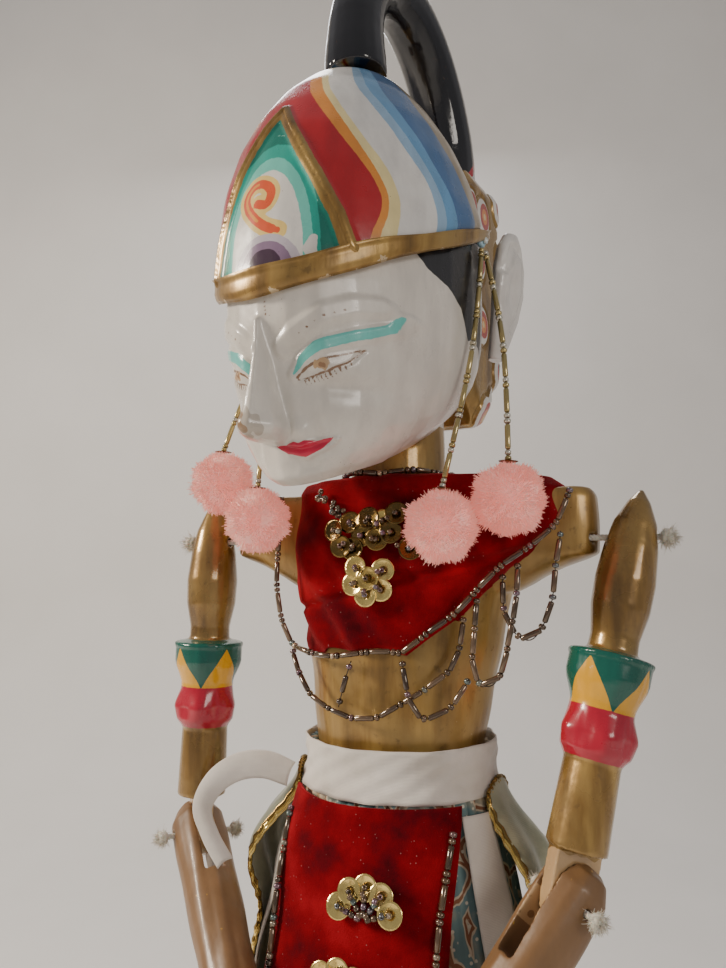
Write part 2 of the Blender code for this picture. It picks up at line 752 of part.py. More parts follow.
def build_ears(frame):
    stations = [
        # z, x and y of the middle, half sizes
        (0.4830, 0.0405, 0.0080, 0.0028, 0.0040), (0.4900, 0.0420, 0.0090, 0.0038, 0.0065),
        (0.5000, 0.0440, 0.0100, 0.0048, 0.0095), (0.5110, 0.0455, 0.0105, 0.0055, 0.0115),
        (0.5210, 0.0462, 0.0105, 0.0055, 0.0110), (0.5290, 0.0466, 0.0105, 0.0045, 0.0085),
        (0.5345, 0.0470, 0.0105, 0.0030, 0.0045),
    ]
    for side, name in ((1, "ear_left"), (-1, "ear_right")):
        rings = [oval(z, a, b, 14, 2.0, middle=(side * x, y)) for z, x, y, a, b in stations]
        face_outward(add(name, *loft(rings), face_white(), frame))
    for side, name in ((1, "ear_pin_left"), (-1, "ear_pin_right")):
        x, y, z = EAR_PIN
        rings = []
        for dx, radius in ((-0.0022, 0.0012), (-0.0012, 0.0022), (0.0004, 0.0024), (0.0018, 0.0012)):
            rings.append([
                Vector((side * (x + dx + 0.0012), y + radius * math.cos(a), z + radius * math.sin(a)))
                for a in (2 * math.pi * k / 10 for k in range(10))
            ])
        face_outward(add(name, *loft(rings), gold_beads(), frame))


# Each pompom hangs from an ear pin on a string of gold beads: its middle, in metres.
POMPOMS = {
    "left_front": (1, (0.0300, -0.0440, 0.4146)),
    "left_rear": (1, (0.0520, -0.0388, 0.4236)),
    "right_front": (-1, (-0.0460, -0.0360, 0.4186)),
    "right_rear": (-1, (-0.0650, -0.0310, 0.4345)),
}


def build_earrings():
    turn = Matrix.Rotation(math.radians(HEAD_YAW), 3, "Z")
    for label, (side, middle) in POMPOMS.items():
        front = "front" in label
        spread = -0.0016 if front else 0.0016
        pin = turn @ Vector((side * (EAR_PIN[0] + 0.0015), EAR_PIN[1] + spread, EAR_PIN[2] - 0.0036))
        low = Vector(middle) + Vector((0, 0, POMPOM_RADIUS + 0.0006))
        bow = turn @ Vector((side * 0.0030, 0.0, 0.0))
        route = smooth_path([
            pin, pin.lerp(low, 0.15) + bow * 0.5, pin.lerp(low, 0.45) + bow,
            pin.lerp(low, 0.75) + bow * 0.6, low,
        ], 28)
        cord("earring_string_" + label, route, 0.0011, gold_beads())
        rings = []
        for k in range(1, 9):
            tilt = math.pi * k / 9
            radius = POMPOM_RADIUS * math.sin(tilt)
            z = middle[2] - POMPOM_RADIUS * math.cos(tilt)
            rings.append(oval(z, radius, radius, 16, middle=middle[:2]))
        face_outward(add("pompom_" + label, *loft(rings), pink_wool()))


# ---------------------------------------------------------------- arms

ARM_RINGS = [
    # distance below the shoulder cord, half width along the cord, half width across
    (-0.0180, 0.0006, 0.0006), (-0.0130, 0.0040, 0.0048), (-0.0050, 0.0075, 0.0080),
    (0.0040, 0.0092, 0.0100), (0.0160, 0.0103, 0.0118), (0.0260, 0.0100, 0.0112),
    (0.0360, 0.0082, 0.0086), (0.0410, 0.0084, 0.0086), (0.0430, 0.0140, 0.0143),
    (0.0520, 0.0130, 0.0133), (0.0590, 0.0108, 0.0112), (0.0615, 0.0108, 0.0112),
    (0.0680, 0.0124, 0.0126), (0.0740, 0.0118, 0.0120), (0.0775, 0.0094, 0.0096),
    (0.0860, 0.0096, 0.0098), (0.1050, 0.0100, 0.0100),
]

# Where each arm hangs at rest: directions of the upper arm and of the forearm, and of the hinge.
ARMS = {
    "left": (1, (-0.200, -0.195, -0.960), (-0.50, -0.45, -0.74), (0.66, -0.75, 0.0)),
    "right": (-1, (-0.022, -0.018, -0.999), (0.62, -0.58, -0.53), (0.68, 0.73, 0.0)),
}


def frame_along(origin, down, hinge):
    """A matrix whose -Z runs along down and whose X is as near the hinge as it can be."""
    z = -Vector(down).normalized()
    x = Vector(hinge)
    x = (x - z * x.dot(z)).normalized()
    y = z.cross(x)
    matrix = Matrix((x, y, z)).transposed().to_4x4()
    matrix.translation = Vector(origin)
    return matrix


def placed(verts, matrix):
    return [matrix @ Vector(v) for v in verts]


def joint_cord(name, middle, axis, reach):
    """A short cotton cord through a joint, knotted at both ends."""
    axis = Vector(axis).normalized()
    stations = [
        (-reach - 0.004, 0.0010), (-reach - 0.002, 0.0030), (-reach, 0.0010), (0.0, 0.0011),
        (reach, 0.0010), (reach + 0.002, 0.0030), (reach + 0.004, 0.0010),
    ]
    points = [Vector(middle) + axis * t for t, _ in stations]
    add(name, *swept(points, [r for _, r in stations], 8), twine())


def through_hole(name, middle, axis, radius, reach=0.03):
    axis = Vector(axis).normalized()
    middle = Vector(middle)
    return hidden(name, *rod_between(middle - axis * reach, middle + axis * reach, radius, 12))


def slot_cutter(name, matrix, half, low, high):
    """A flat box across a limb's end, thin along the hinge."""
    verts, faces = box_points((-half, -0.03, low), (half, 0.03, high))
    return hidden(name, placed(verts, matrix), faces)


TONGUE = 0.0030                   # half the thickness of a joint's tongue
SLOT = 0.0034                     # half the width of the slot it turns in


def build_arm(side_name):
    side, down, fore, hinge = ARMS[side_name]
    shoulder = Vector((LEAN + side * SHOULDER_REACH, CORD_Y, CORD_Z))
    down = Vector(down).normalized()
    elbow = shoulder + down * UPPER_ARM
    hinge = Vector(hinge)
    hinge = (hinge - down * hinge.dot(down)).normalized()
    fore = Vector(fore)
    fore = (fore - hinge * fore.dot(hinge)).normalized()
    wrist = elbow + fore * FOREARM

    # Upper arm: rings square to the arm, then a flat tongue with a round end.
    matrix = frame_along(shoulder, down, (1, 0, 0))
    rings = []
    for drop, half_x, half_y in ARM_RINGS:
        rings.append(placed(oval(-drop, half_x, half_y, 24), matrix))
    arm = add("upper_arm_" + side_name, *loft(rings[::-1]), bronze())
    arm_frame = frame_along(shoulder, down, hinge)
    outline = [(-0.0088, -0.098), (-0.0088, -UPPER_ARM)]
    for k in range(1, 8):
        angle = math.pi * k / 8
        outline.append((-0.0088 * math.cos(angle), -UPPER_ARM - 0.0088 * math.sin(angle)))
    outline += [(0.0088, -UPPER_ARM), (0.0088, -0.098)]
    rings = [placed([Vector((x, y, z)) for y, z in outline], arm_frame) for x in (-TONGUE, TONGUE)]
    combine(arm, hidden("tongue_joiner_" + side_name, *loft(rings)), "UNION")
    combine(arm, through_hole("shoulder_hole_" + side_name, shoulder, (1, 0, 0), 0.0019), "DIFFERENCE")
    combine(arm, through_hole("elbow_hole_" + side_name, elbow, hinge, 0.0016), "DIFFERENCE")
    joint_cord("elbow_cord_" + side_name, elbow, hinge, 0.0125)

    # Forearm: a tapering limb, slotted at the elbow and at the wrist.
    matrix = frame_along(elbow, fore, hinge)
    stations = [
        (0.0125, 0.0050), (0.0105, 0.0085), (0.0050, 0.0108), (-0.0250, 0.0110), (-0.0700, 0.0092),
        (-0.0950, 0.0078), (-0.1080, 0.0074), (-0.1145, 0.0055),
    ]
    rings = [placed(oval(z, r, r, 24), matrix) for z, r in stations]
    forearm = add("forearm_" + side_name, *loft(rings[::-1]), brown_bronze())
    combine(forearm, slot_cutter("elbow_slot_" + side_name, matrix, SLOT, -0.0240, 0.03), "DIFFERENCE")
    low = -FOREARM - 0.03
    wrist_slot = slot_cutter("wrist_slot_" + side_name, matrix, 0.0026, low, -FOREARM + 0.0095)
    combine(forearm, wrist_slot, "DIFFERENCE")
    combine(forearm, through_hole("fork_hole_" + side_name, elbow, hinge, 0.0016), "DIFFERENCE")
    combine(forearm, through_hole("wrist_hole_" + side_name, wrist, hinge, 0.0016), "DIFFERENCE")
    joint_cord("wrist_cord_" + side_name, wrist, hinge, 0.0092)

    # Hand: a thin tongue, a palm and held-together fingers, hanging from the wrist.
    hang = Vector((0, 0, -1))
    hang = (hang - hinge * hang.dot(hinge)).normalized()
    matrix = frame_along(wrist, hang, hinge)
    stations = [
        # z, half thickness along the hinge, half width
        (0.0060, 0.0018, 0.0030), (0.0040, 0.0021, 0.0052), (-0.0020, 0.0021, 0.0058),
        (-0.0085, 0.0022, 0.0055), (-0.0120, 0.0042, 0.0072), (-0.0220, 0.0052, 0.0105),
        (-0.0320, 0.0048, 0.0100), (-0.0420, 0.0036, 0.0075), (-HAND, 0.0020, 0.0035),
    ]
    rings = [placed(oval(z, a, b, 18, 2.4), matrix) for z, a, b in stations]
    hand = add("hand_" + side_name, *loft(rings[::-1]), bronze())
    combine(hand, through_hole("hand_hole_" + side_name, wrist, hinge, 0.0016), "DIFFERENCE")

    # Control rod: a thin stick tied to the outer side of the hand.
    tie = wrist + hang * 0.0250 + hinge * (side * 0.0088)
    top = tie + Vector((0, 0, 0.0060))
    points = [top, tie, tie - Vector((0, 0, 0.06)), top - Vector((0, 0, CONTROL_ROD))]
    points[-1].z = max(points[-1].z, 0.012)
    add("control_rod_" + side_name, *swept(points, [0.0018, 0.0020, 0.0024, 0.0026], 10), raw_wood())


# ---------------------------------------------------------------- the puppet

def build():
    build_stand()
    build_rod()
    build_torso()
    build_shoulder_cord()
    build_bib()
    build_bib_beads()
    build_chest_sequins()
    build_bead_loops()
    build_skirt()
    build_ribbons()
    build_apron()
    build_sashes()
    head_frame = bpy.data.objects.new("head_frame", None)
    bpy.context.scene.collection.objects.link(head_frame)
    head_frame.rotation_euler = (0, 0, math.radians(HEAD_YAW))
    build_head(head_frame)
    build_crown(head_frame)
    build_curl(head_frame)
    build_back_ornament(head_frame)
    build_ears(head_frame)
    build_earrings()
    for side_name in ARMS:
        build_arm(side_name)


build()
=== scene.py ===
"""The look of the wayang golek rod puppet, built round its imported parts. Metres, +Z up, facing -Y."""

import math

import bmesh
import bpy
import numpy as np
from mathutils import Matrix, Vector


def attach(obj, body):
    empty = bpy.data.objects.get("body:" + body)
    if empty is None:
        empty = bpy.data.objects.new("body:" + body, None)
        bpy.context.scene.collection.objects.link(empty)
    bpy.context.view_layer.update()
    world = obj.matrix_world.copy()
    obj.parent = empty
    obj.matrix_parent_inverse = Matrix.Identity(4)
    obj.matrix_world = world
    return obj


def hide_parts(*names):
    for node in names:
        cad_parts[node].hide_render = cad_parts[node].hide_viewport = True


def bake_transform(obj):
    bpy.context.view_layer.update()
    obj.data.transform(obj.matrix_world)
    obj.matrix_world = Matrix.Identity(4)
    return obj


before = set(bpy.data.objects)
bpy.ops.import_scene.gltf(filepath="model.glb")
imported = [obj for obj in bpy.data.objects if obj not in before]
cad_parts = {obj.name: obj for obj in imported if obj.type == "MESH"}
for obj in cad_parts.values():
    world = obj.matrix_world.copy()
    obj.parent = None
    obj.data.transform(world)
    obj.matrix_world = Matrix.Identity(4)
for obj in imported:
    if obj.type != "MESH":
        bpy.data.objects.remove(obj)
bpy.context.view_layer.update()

RNG = np.random.default_rng(11)
HEAD_YAW = math.radians(-11.0)
NECK_RADIUS = 0.0195


# ---------------------------------------------------------------- camera, light and stage

def place_camera():
    azimuth = math.radians(20.8)
    pitch = math.radians(6.5)
    ahead = Vector((-math.sin(azimuth) * math.cos(pitch), math.cos(azimuth) * math.cos(pitch),
                    math.sin(pitch)))
    right = Vector((math.cos(azimuth), math.sin(azimuth), 0))
    up = right.cross(ahead)
    data = bpy.data.cameras.new("camera")
    data.lens = 27
    data.sensor_width = 36
    data.clip_start = 0.01
    camera = bpy.data.objects.new("camera", data)
    bpy.context.scene.collection.objects.link(camera)
    camera.matrix_world = Matrix((right, up, -ahead)).transposed().to_4x4()
    camera.location = (0.0927, -0.2853, 0.4006)
    bpy.context.scene.camera = camera


def area_light(name, place, target, size, power, colour):
    data = bpy.data.lights.new(name, "AREA")
    data.shape = "RECTANGLE"
    data.size = size
    data.size_y = size * 0.8
    data.energy = power
    data.color = colour
    light = bpy.data.objects.new(name, data)
    bpy.context.scene.collection.objects.link(light)
    light.location = place
    aim = Vector(target) - Vector(place)
    light.rotation_euler = aim.to_track_quat("-Z", "Y").to_euler()
    return light


def build_stage():
    profile = [(-1.6, 0.0), (0.75, 0.0)]
    for k in range(1, 13):
        angle = math.pi / 2 * k / 12
        profile.append((0.75 + 0.35 * math.sin(angle), 0.35 - 0.35 * math.cos(angle)))
    profile.append((1.10, 2.6))
    verts = []
    faces = []
    for i, (y, z) in enumerate(profile):
        verts += [(-3.0, y, z), (3.0, y, z)]
        if i:
            faces.append((2 * i - 2, 2 * i - 1, 2 * i + 1, 2 * i))
    shade = Shade("studio_paper")
    tone = shade.noise(6, 3)
    colour = shade.ramp(tone, (0.3, (0.77, 0.75, 0.73)), (0.7, (0.81, 0.79, 0.77)))
    shade.set(Base_Color=colour, Roughness=0.85)
    shade.bump(shade.noise(900, 3), 0.05, 0.0003)
    sweep = mesh_object("sweep", verts, faces, shade.mat)
    turn = Matrix.Rotation(math.radians(20.8), 4, "Z")
    sweep.data.transform(turn)
    area_light("key", (-1.15, -0.60, 0.95), (0, 0, 0.42), 0.34, 22, (1.0, 0.89, 0.74))
    area_light("fill", (1.05, -0.70, 0.75), (0, 0, 0.36), 0.45, 4.0, (1.0, 0.93, 0.84))
    area_light("top", (-0.35, 0.75, 1.45), (0, 0, 0.40), 0.5, 5, (0.95, 0.97, 1.0))
    world = bpy.context.scene.world or bpy.data.worlds.new("world")
    bpy.context.scene.world = world
    world.use_nodes = True
    background = world.node_tree.nodes["Background"]
    background.inputs[0].default_value = (0.97, 0.95, 0.96, 1)
    background.inputs[1].default_value = 0.30


# ---------------------------------------------------------------- materials

class Shade:
    """One procedural material, built node by node on the piece's own metres."""

    def __init__(self, name):
        self.mat = bpy.data.materials.new(name)
        self.mat.use_nodes = True
        self.tree = self.mat.node_tree
        self.bsdf = self.tree.nodes["Principled BSDF"]
        self.where = self.make("TexCoord").outputs["Object"]
        self.normal = None

    def feed(self, socket, value):
        if isinstance(value, bpy.types.NodeSocket):
            self.tree.links.new(value, socket)
        elif isinstance(value, tuple) and len(value) == 3 and len(socket.default_value) == 4:
            socket.default_value = (*value, 1.0)
        else:
            socket.default_value = value

    def make(self, kind, values=None, **settings):
        node = self.tree.nodes.new("ShaderNode" + kind)
        for key, value in settings.items():
            setattr(node, key, value)
        for key, value in (values or {}).items():
            self.feed(node.inputs[key], value)
        return node

    def stretched(self, scale):
        return self.make("Mapping", {"Vector": self.where, "Scale": scale}).outputs[0]

    def noise(self, scale, detail=4, stretch=None):
        where = self.stretched(stretch) if stretch else self.where
        values = {"Vector": where, "Scale": scale, "Detail": detail, "Roughness": 0.55}
        return self.make("TexNoise", values).outputs["Fac"]

    def cells(self, scale, where=None):
        values = {"Vector": where or self.where, "Scale": scale}
        return self.make("TexVoronoi", values).outputs["Distance"]

    def ramp(self, value, *stops):
        node = self.make("ValToRGB", {"Fac": value})
        ramp = node.color_ramp
        while len(ramp.elements) < len(stops):
            ramp.elements.new(0.5)
        for element, (place, colour) in zip(ramp.elements, stops):
            element.position = place
            element.color = (*colour, 1)
        return node.outputs["Color"]

    def calc(self, operation, a, b=0.0):
        return self.make("Math", {0: a, 1: b}, operation=operation).outputs[0]

    def mix(self, share, a, b, blend="MIX"):
        node = self.make("Mix", {0: share, 6: a, 7: b}, data_type="RGBA", blend_type=blend)
        return node.outputs[2]

    def attr(self, name):
        return self.make("Attribute", attribute_name=name).outputs["Fac"]

    def mask(self, value, low, high):
        """0 below low, 1 above high."""
        values = {"Value": value, "From Min": low, "From Max": high}
        return self.make("MapRange", values, clamp=True).outputs[0]

    def edge(self):
        """Near 1 on sharp outer edges, where paint wears."""
        return self.mask(self.make("NewGeometry").outputs["Pointiness"], 0.53, 0.60)

    def set(self, **inputs):
        for key, value in inputs.items():
            self.feed(self.bsdf.inputs[key.replace("_", " ")], value)

    def bump(self, height, strength, distance):
        values = {"Height": height, "Strength": strength, "Distance": distance}
        if self.normal is not None:
            values["Normal"] = self.normal
        self.normal = self.make("Bump", values).outputs[0]
        self.feed(self.bsdf.inputs["Normal"], self.normal)


BRONZE = (0.285, 0.160, 0.040)
BRONZE_HIGH = (0.48, 0.30, 0.085)


def brushed(shade, base):
    """Small uneven brush marks in a flat coat of paint."""
    tone = shade.noise(160, 5, (1, 1, 0.35))
    light = shade.mask(tone, 0.35, 0.7)
    return shade.mix(light, shade.mix(0.16, base, (0, 0, 0)), base)


def bronze_colour(shade):
    streak = shade.noise(120, 6, (1, 1, 0.12))
    blotch = shade.noise(45, 4)
    base = shade.ramp(streak, (0.32, (0.15, 0.083, 0.024)), (0.5, BRONZE), (0.68, BRONZE_HIGH))
    base = shade.mix(shade.mask(blotch, 0.45, 0.70), base, (0.38, 0.245, 0.078))
    dark = shade.mask(shade.noise(300, 5), 0.60, 0.72)
    return shade.mix(shade.calc("MULTIPLY", dark, 0.5), base, (0.11, 0.065, 0.025))


def worn(shade, colour, under, amount=0.62):
    """Chips through the paint to what is under it, mostly at edges."""
    flake = shade.calc("ADD", shade.noise(210, 7), shade.calc("MULTIPLY", shade.edge(), 0.16))
    return shade.mix(shade.mask(flake, amount + 0.06, amount + 0.075), colour, under)


def bronze_shade(name):
    shade = Shade(name)
    colour = worn(shade, bronze_colour(shade), (0.68, 0.53, 0.33), 0.68)
    gloss = shade.mask(shade.noise(90, 5), 0.3, 0.75)
    shade.set(Base_Color=colour, Metallic=0.45, Coat_Weight=0.35, Coat_Roughness=0.22,
              Roughness=shade.calc("ADD", shade.calc("MULTIPLY", gloss, 0.22), 0.27))
    shade.bump(shade.noise(420, 5, (1, 1, 0.2)), 0.35, 0.0004)
    shade.bump(shade.noise(60, 3), 0.25, 0.0012)
    return shade.mat


def painted_shade(name, base, layers, rough=0.14, metal_layers=(), coat=0.45, chip=0.69,
                  grime=0.35, bronze_base=False):
    """Flat paint with each layer's outline kept as signed distances on the mesh."""
    shade = Shade(name)
    jitter = shade.calc("SUBTRACT", shade.noise(520, 3), 0.5)
    jitter = shade.calc("MULTIPLY", jitter, 0.0005)
    bronze = bronze_colour(shade)
    colour = bronze if bronze_base else brushed(shade, base)
    metal = 0.45 if bronze_base else 0.0
    for i, tint in enumerate(layers):
        inside = shade.calc("ADD", shade.attr(f"paint{i}"), jitter)
        inside = shade.mask(inside, -0.00008, 0.00008)
        paint = bronze if i in metal_layers else brushed(shade, tint)
        colour = shade.mix(inside, colour, paint)
        if metal_layers or bronze_base:
            target = 0.5 if i in metal_layers else 0.0
            values = {0: inside, 2: metal, 3: target}
            metal = shade.make("Mix", values, data_type="FLOAT").outputs[0]
    colour = worn(shade, colour, (0.70, 0.62, 0.50), chip)
    dirt = shade.mask(shade.noise(38, 6), 0.50, 0.78)
    colour = shade.mix(shade.calc("MULTIPLY", dirt, grime), colour, (0.36, 0.28, 0.20), "MULTIPLY")
    speck = shade.mask(shade.cells(520), 0.10, 0.05)
    some = shade.mask(shade.noise(70, 2), 0.60, 0.66)
    colour = shade.mix(shade.calc("MULTIPLY", speck, some), colour, (0.20, 0.12, 0.07))
    gloss = shade.calc("MULTIPLY", shade.mask(shade.noise(75, 4), 0.3, 0.75), 0.14)
    shade.set(Base_Color=colour, Roughness=shade.calc("ADD", gloss, rough), Metallic=metal,
              Coat_Weight=coat, Coat_Roughness=0.10)
    shade.bump(shade.noise(230, 4, (1, 1, 0.4)), 0.22, 0.0006)
    shade.bump(shade.noise(48, 3), 0.30, 0.0016)
    return shade.mat


def wood_shade(name, dark, light, rough, coat=0.0):
    shade = Shade(name)
    grain = shade.noise(170, 7, (1, 1, 0.045))
    pore = shade.noise(900, 3, (1, 1, 0.05))
    colour = shade.ramp(grain, (0.30, dark), (0.70, light))
    colour = shade.mix(shade.mask(pore, 0.58, 0.75), colour, shade.mix(0.5, dark, (0, 0, 0)))
    stain = shade.mask(shade.noise(30, 4), 0.5, 0.8)
    colour = shade.mix(stain, colour, shade.mix(0.35, colour, dark))
    shade.set(Base_Color=colour, Roughness=rough, Coat_Weight=coat, Coat_Roughness=0.2)
    shade.bump(pore, 0.25, 0.0003)
    shade.bump(grain, 0.2, 0.0004)
    return shade.mat


def velvet_shade(name):
    shade = Shade(name)
    nap = shade.noise(55, 5)
    weave = shade.noise(2600, 2)
    colour = shade.ramp(nap, (0.32, (0.060, 0.001, 0.004)), (0.5, (0.18, 0.002, 0.007)),
                        (0.70, (0.31, 0.006, 0.013)))
    lint = shade.mask(shade.cells(620), 0.12, 0.06)
    some = shade.mask(shade.noise(400, 2), 0.55, 0.62)
    colour = shade.mix(shade.calc("MULTIPLY", shade.calc("MULTIPLY", lint, some), 0.55), colour,
                       (0.75, 0.45, 0.42))
    shade.set(Base_Color=colour, Roughness=0.92, Sheen_Weight=0.55, Sheen_Roughness=0.35,
              Sheen_Tint=(0.90, 0.12, 0.12), Specular_IOR_Level=0.08)
    shade.bump(weave, 0.6, 0.0004)
    shade.bump(nap, 0.35, 0.0014)
    return shade.mat


def woven_shade(name, dark, light, rough, sheen=0.3):
    shade = Shade(name)
    warp = shade.make("TexWave", {"Vector": shade.where, "Scale": 700.0, "Distortion": 0.6},
                      bands_direction="Z").outputs["Fac"]
    cloud = shade.noise(60, 5)
    colour = shade.mix(shade.mask(cloud, 0.32, 0.70), dark, light)
    colour = shade.mix(shade.calc("MULTIPLY", warp, 0.18), colour, dark)
    shade.set(Base_Color=colour, Roughness=rough, Sheen_Weight=sheen, Sheen_Roughness=0.4,
              Specular_IOR_Level=0.3)
    shade.bump(warp, 0.25, 0.00015)
    shade.bump(shade.noise(150, 4), 0.35, 0.0006)
    return shade.mat


def batik_shade(name):
    """Teal cotton with beige leaf and dot figures."""
    shade = Shade(name)
    swirl = shade.make("TexNoise", {"Vector": shade.where, "Scale": 40.0}).outputs["Color"]
    push = shade.make("VectorMath", {0: swirl, "Scale": 0.014}, operation="SCALE").outputs[0]
    warped = shade.make("VectorMath", {0: shade.where, 1: push}, operation="ADD").outputs[0]
    ring = shade.calc("SINE", shade.calc("MULTIPLY", shade.cells(62.0, warped), 16.0))
    dots = shade.cells(330)
    colour = shade.mix(shade.mask(shade.noise(26, 3), 0.45, 0.56), (0.17, 0.27, 0.28),
                       (0.62, 0.47, 0.30))
    colour = shade.mix(shade.mask(ring, 0.35, 0.50), colour, (0.66, 0.56, 0.42))
    colour = shade.mix(shade.mask(ring, 0.82, 0.90), colour, (0.30, 0.13, 0.07))
    colour = shade.mix(shade.mask(dots, 0.22, 0.16), colour, (0.72, 0.66, 0.54))
    shade.set(Base_Color=colour, Roughness=0.85, Sheen_Weight=0.25, Specular_IOR_Level=0.2)
    shade.bump(shade.noise(1500, 2), 0.4, 0.00025)
    shade.bump(shade.noise(120, 4), 0.3, 0.0006)
    return shade.mat


def bead_shade(name, stops, metallic):
    """Glass beads that each have their own tint."""
    shade = Shade(name)
    colour = shade.ramp(shade.attr("tone"), *stops)
    film = shade.ramp(shade.make("LayerWeight", {"Blend": 0.35}).outputs["Facing"],
                      (0.0, (1.0, 1.0, 1.0)), (0.55, (0.85, 1.0, 0.95)), (1.0, (1.0, 0.70, 0.95)))
    colour = shade.mix(0.8, colour, film, "MULTIPLY")
    shade.set(Base_Color=colour, Metallic=metallic, Roughness=0.16, Coat_Weight=1.0,
              Coat_Roughness=0.04)
    shade.bump(shade.noise(1100, 2), 0.12, 0.0002)
    return shade.mat


def foil_shade(name):
    shade = Shade(name)
    tone = shade.ramp(shade.attr("tone"), (0.0, (0.055, 0.032, 0.014)), (0.3, (0.26, 0.165, 0.05)),
                      (0.55, (0.80, 0.56, 0.15)), (1.0, (0.95, 0.74, 0.28)))
    tarnish = shade.mask(shade.noise(420, 4), 0.50, 0.72)
    colour = shade.mix(shade.calc("MULTIPLY", tarnish, 0.6), tone, (0.25, 0.15, 0.06))
    shade.set(Base_Color=colour, Metallic=0.95, Roughness=shade.calc(
        "ADD", shade.calc("MULTIPLY", tarnish, 0.25), 0.16))
    shade.bump(shade.noise(700, 3), 0.25, 0.0004)
    return shade.mat


def fibre_shade(name, stops, glow=(0, 0, 0)):
    shade = Shade(name)
    colour = shade.ramp(shade.attr("tone"), *stops)
    colour = shade.mix(shade.mask(shade.noise(800, 3), 0.3, 0.7), shade.mix(0.12, colour, (0, 0, 0)),
                       colour)
    # The glow stands for light scattered from hair to hair, which few bounces leave out.
    shade.set(Base_Color=colour, Roughness=0.9, Sheen_Weight=0.5, Sheen_Roughness=0.5,
              Sheen_Tint=stops[-1][1], Specular_IOR_Level=0.15, Subsurface_Weight=0.15,
              Subsurface_Scale=0.002, Emission_Color=glow, Emission_Strength=0.34)
    return shade.mat


# ---------------------------------------------------------------- meshes

def mesh_object(name, verts, faces, mat, tone=None):
    mesh = bpy.data.meshes.new(name)
    mesh.from_pydata([tuple(float(c) for c in v) for v in verts], [], faces)
    mesh.update()
    mesh.materials.append(mat)
    mesh.shade_smooth()
    if tone is not None:
        mark(mesh, "tone", tone)
    obj = bpy.data.objects.new(name, mesh)
    bpy.context.scene.collection.objects.link(obj)
    return obj


def mark(mesh, name, values):
    layer = mesh.attributes.new(name, "FLOAT", "POINT")
    layer.data.foreach_set("value", np.asarray(values, np.float32))


def places(obj):
    flat = np.empty(len(obj.data.vertices) * 3, np.float32)
    obj.data.vertices.foreach_get("co", flat)
    return flat.reshape(-1, 3).astype(float)


def normals(obj):
    flat = np.empty(len(obj.data.vertices) * 3, np.float32)
    obj.data.vertex_normals.foreach_get("vector", flat)
    return flat.reshape(-1, 3).astype(float)


def move_to(obj, points):
    obj.data.vertices.foreach_set("co", points.astype(np.float32).ravel())
    obj.data.update()


def settle(obj):
    """Turns an object's modifiers into its mesh."""
    graph = bpy.context.evaluated_depsgraph_get()
    mesh = bpy.data.meshes.new_from_object(obj.evaluated_get(graph))
    obj.modifiers.clear()
    obj.data = mesh


def thicken(obj, thickness, offset=0.0):
    thick = obj.modifiers.new("thick", "SOLIDIFY")
    thick.thickness = thickness
    thick.offset = offset
    settle(obj)


def skin(node, voxel, rounds, mat=None):
    """A fine, softly carved copy of a part."""
    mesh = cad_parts[node].data.copy()
    work = bmesh.new()
    work.from_mesh(mesh)
    bmesh.ops.remove_doubles(work, verts=work.verts, dist=1e-6)
    work.to_mesh(mesh)
    work.free()
    mesh.materials.clear()
    obj = bpy.data.objects.new(node + "_look", mesh)
    bpy.context.scene.collection.objects.link(obj)
    remesh = obj.modifiers.new("fine", "REMESH")
    remesh.mode = "VOXEL"
    remesh.voxel_size = voxel
    soften = obj.modifiers.new("soft", "SMOOTH")
    soften.factor = 0.5
    soften.iterations = rounds
    settle(obj)
    obj.data.materials.clear()
    if mat:
        obj.data.materials.append(mat)
    obj.data.shade_smooth()
    return obj


def paint(obj, base, layers, **finish):
    """Gives a mesh its painted figures: layers is a list of (signed distances, colour)."""
    for i, (distances, _) in enumerate(layers):
        mark(obj.data, f"paint{i}", distances)
    mat = painted_shade(obj.name + "_paint", base, [c for _, c in layers], **finish)
    obj.data.materials.clear()
    obj.data.materials.append(mat)


def fit(obj, body, slot, *nodes):
    """The piece rides on a body and stands for CAD nodes; slot is not used."""
    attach(obj, body)
    if nodes:
        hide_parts(*nodes)
    return obj


def stroke(points, route, widths):
    """Signed distance, positive inside, to a brush stroke with a half width at each place."""
    route = np.array(route, float)
    best = np.full(len(points), -1.0)
    for a, b, wide_a, wide_b in zip(route, route[1:], widths, widths[1:]):
        step = b - a
        share = np.clip(((points - a) @ step) / max(step @ step, 1e-12), 0, 1)
        away = np.linalg.norm(points - (a + share[:, None] * step), axis=1)
        best = np.maximum(best, wide_a + share * (wide_b - wide_a) - away)
    return best


def patch(points, outline):
    """Signed distance, positive inside, to a flat outline."""
    outline = np.array(outline, float)
    away = -stroke(points, np.vstack([outline, outline[:1]]), [0.0] * (len(outline) + 1))
    inside = np.zeros(len(points), bool)
    for a, b in zip(outline, np.roll(outline, -1, axis=0)):
        if a[1] == b[1]:
            continue
        crosses = (a[1] > points[:, 1]) != (b[1] > points[:, 1])
        at = (b[0] - a[0]) * (points[:, 1] - a[1]) / (b[1] - a[1]) + a[0]
        inside ^= crosses & (points[:, 0] < at)
    return np.where(inside, away, -away)


def arch(points, middle, half, tall):
    """Signed distance, roughly, to an ellipse."""
    gap = (points - np.array(middle)) / np.array((half, tall))
    return (1 - np.linalg.norm(gap, axis=1)) * min(half, tall)


def both(*fields):
    return np.minimum.reduce(fields)


def mottled(points, scale, count=14):
    """Uneven waves, about -1 to 1, with no regular pattern."""
    total = np.zeros(len(points))
    for _ in range(count):
        heading = unit(RNG.normal(size=3)) * scale * RNG.uniform(0.5, 1.8)
        total += np.sin(points @ heading + RNG.uniform(0, 6.3))
    return total / math.sqrt(count)


def bulge(points, middle, sizes):
    gap = (points - np.array(middle)) / np.array(sizes)
    return np.exp(-(gap ** 2).sum(axis=1))


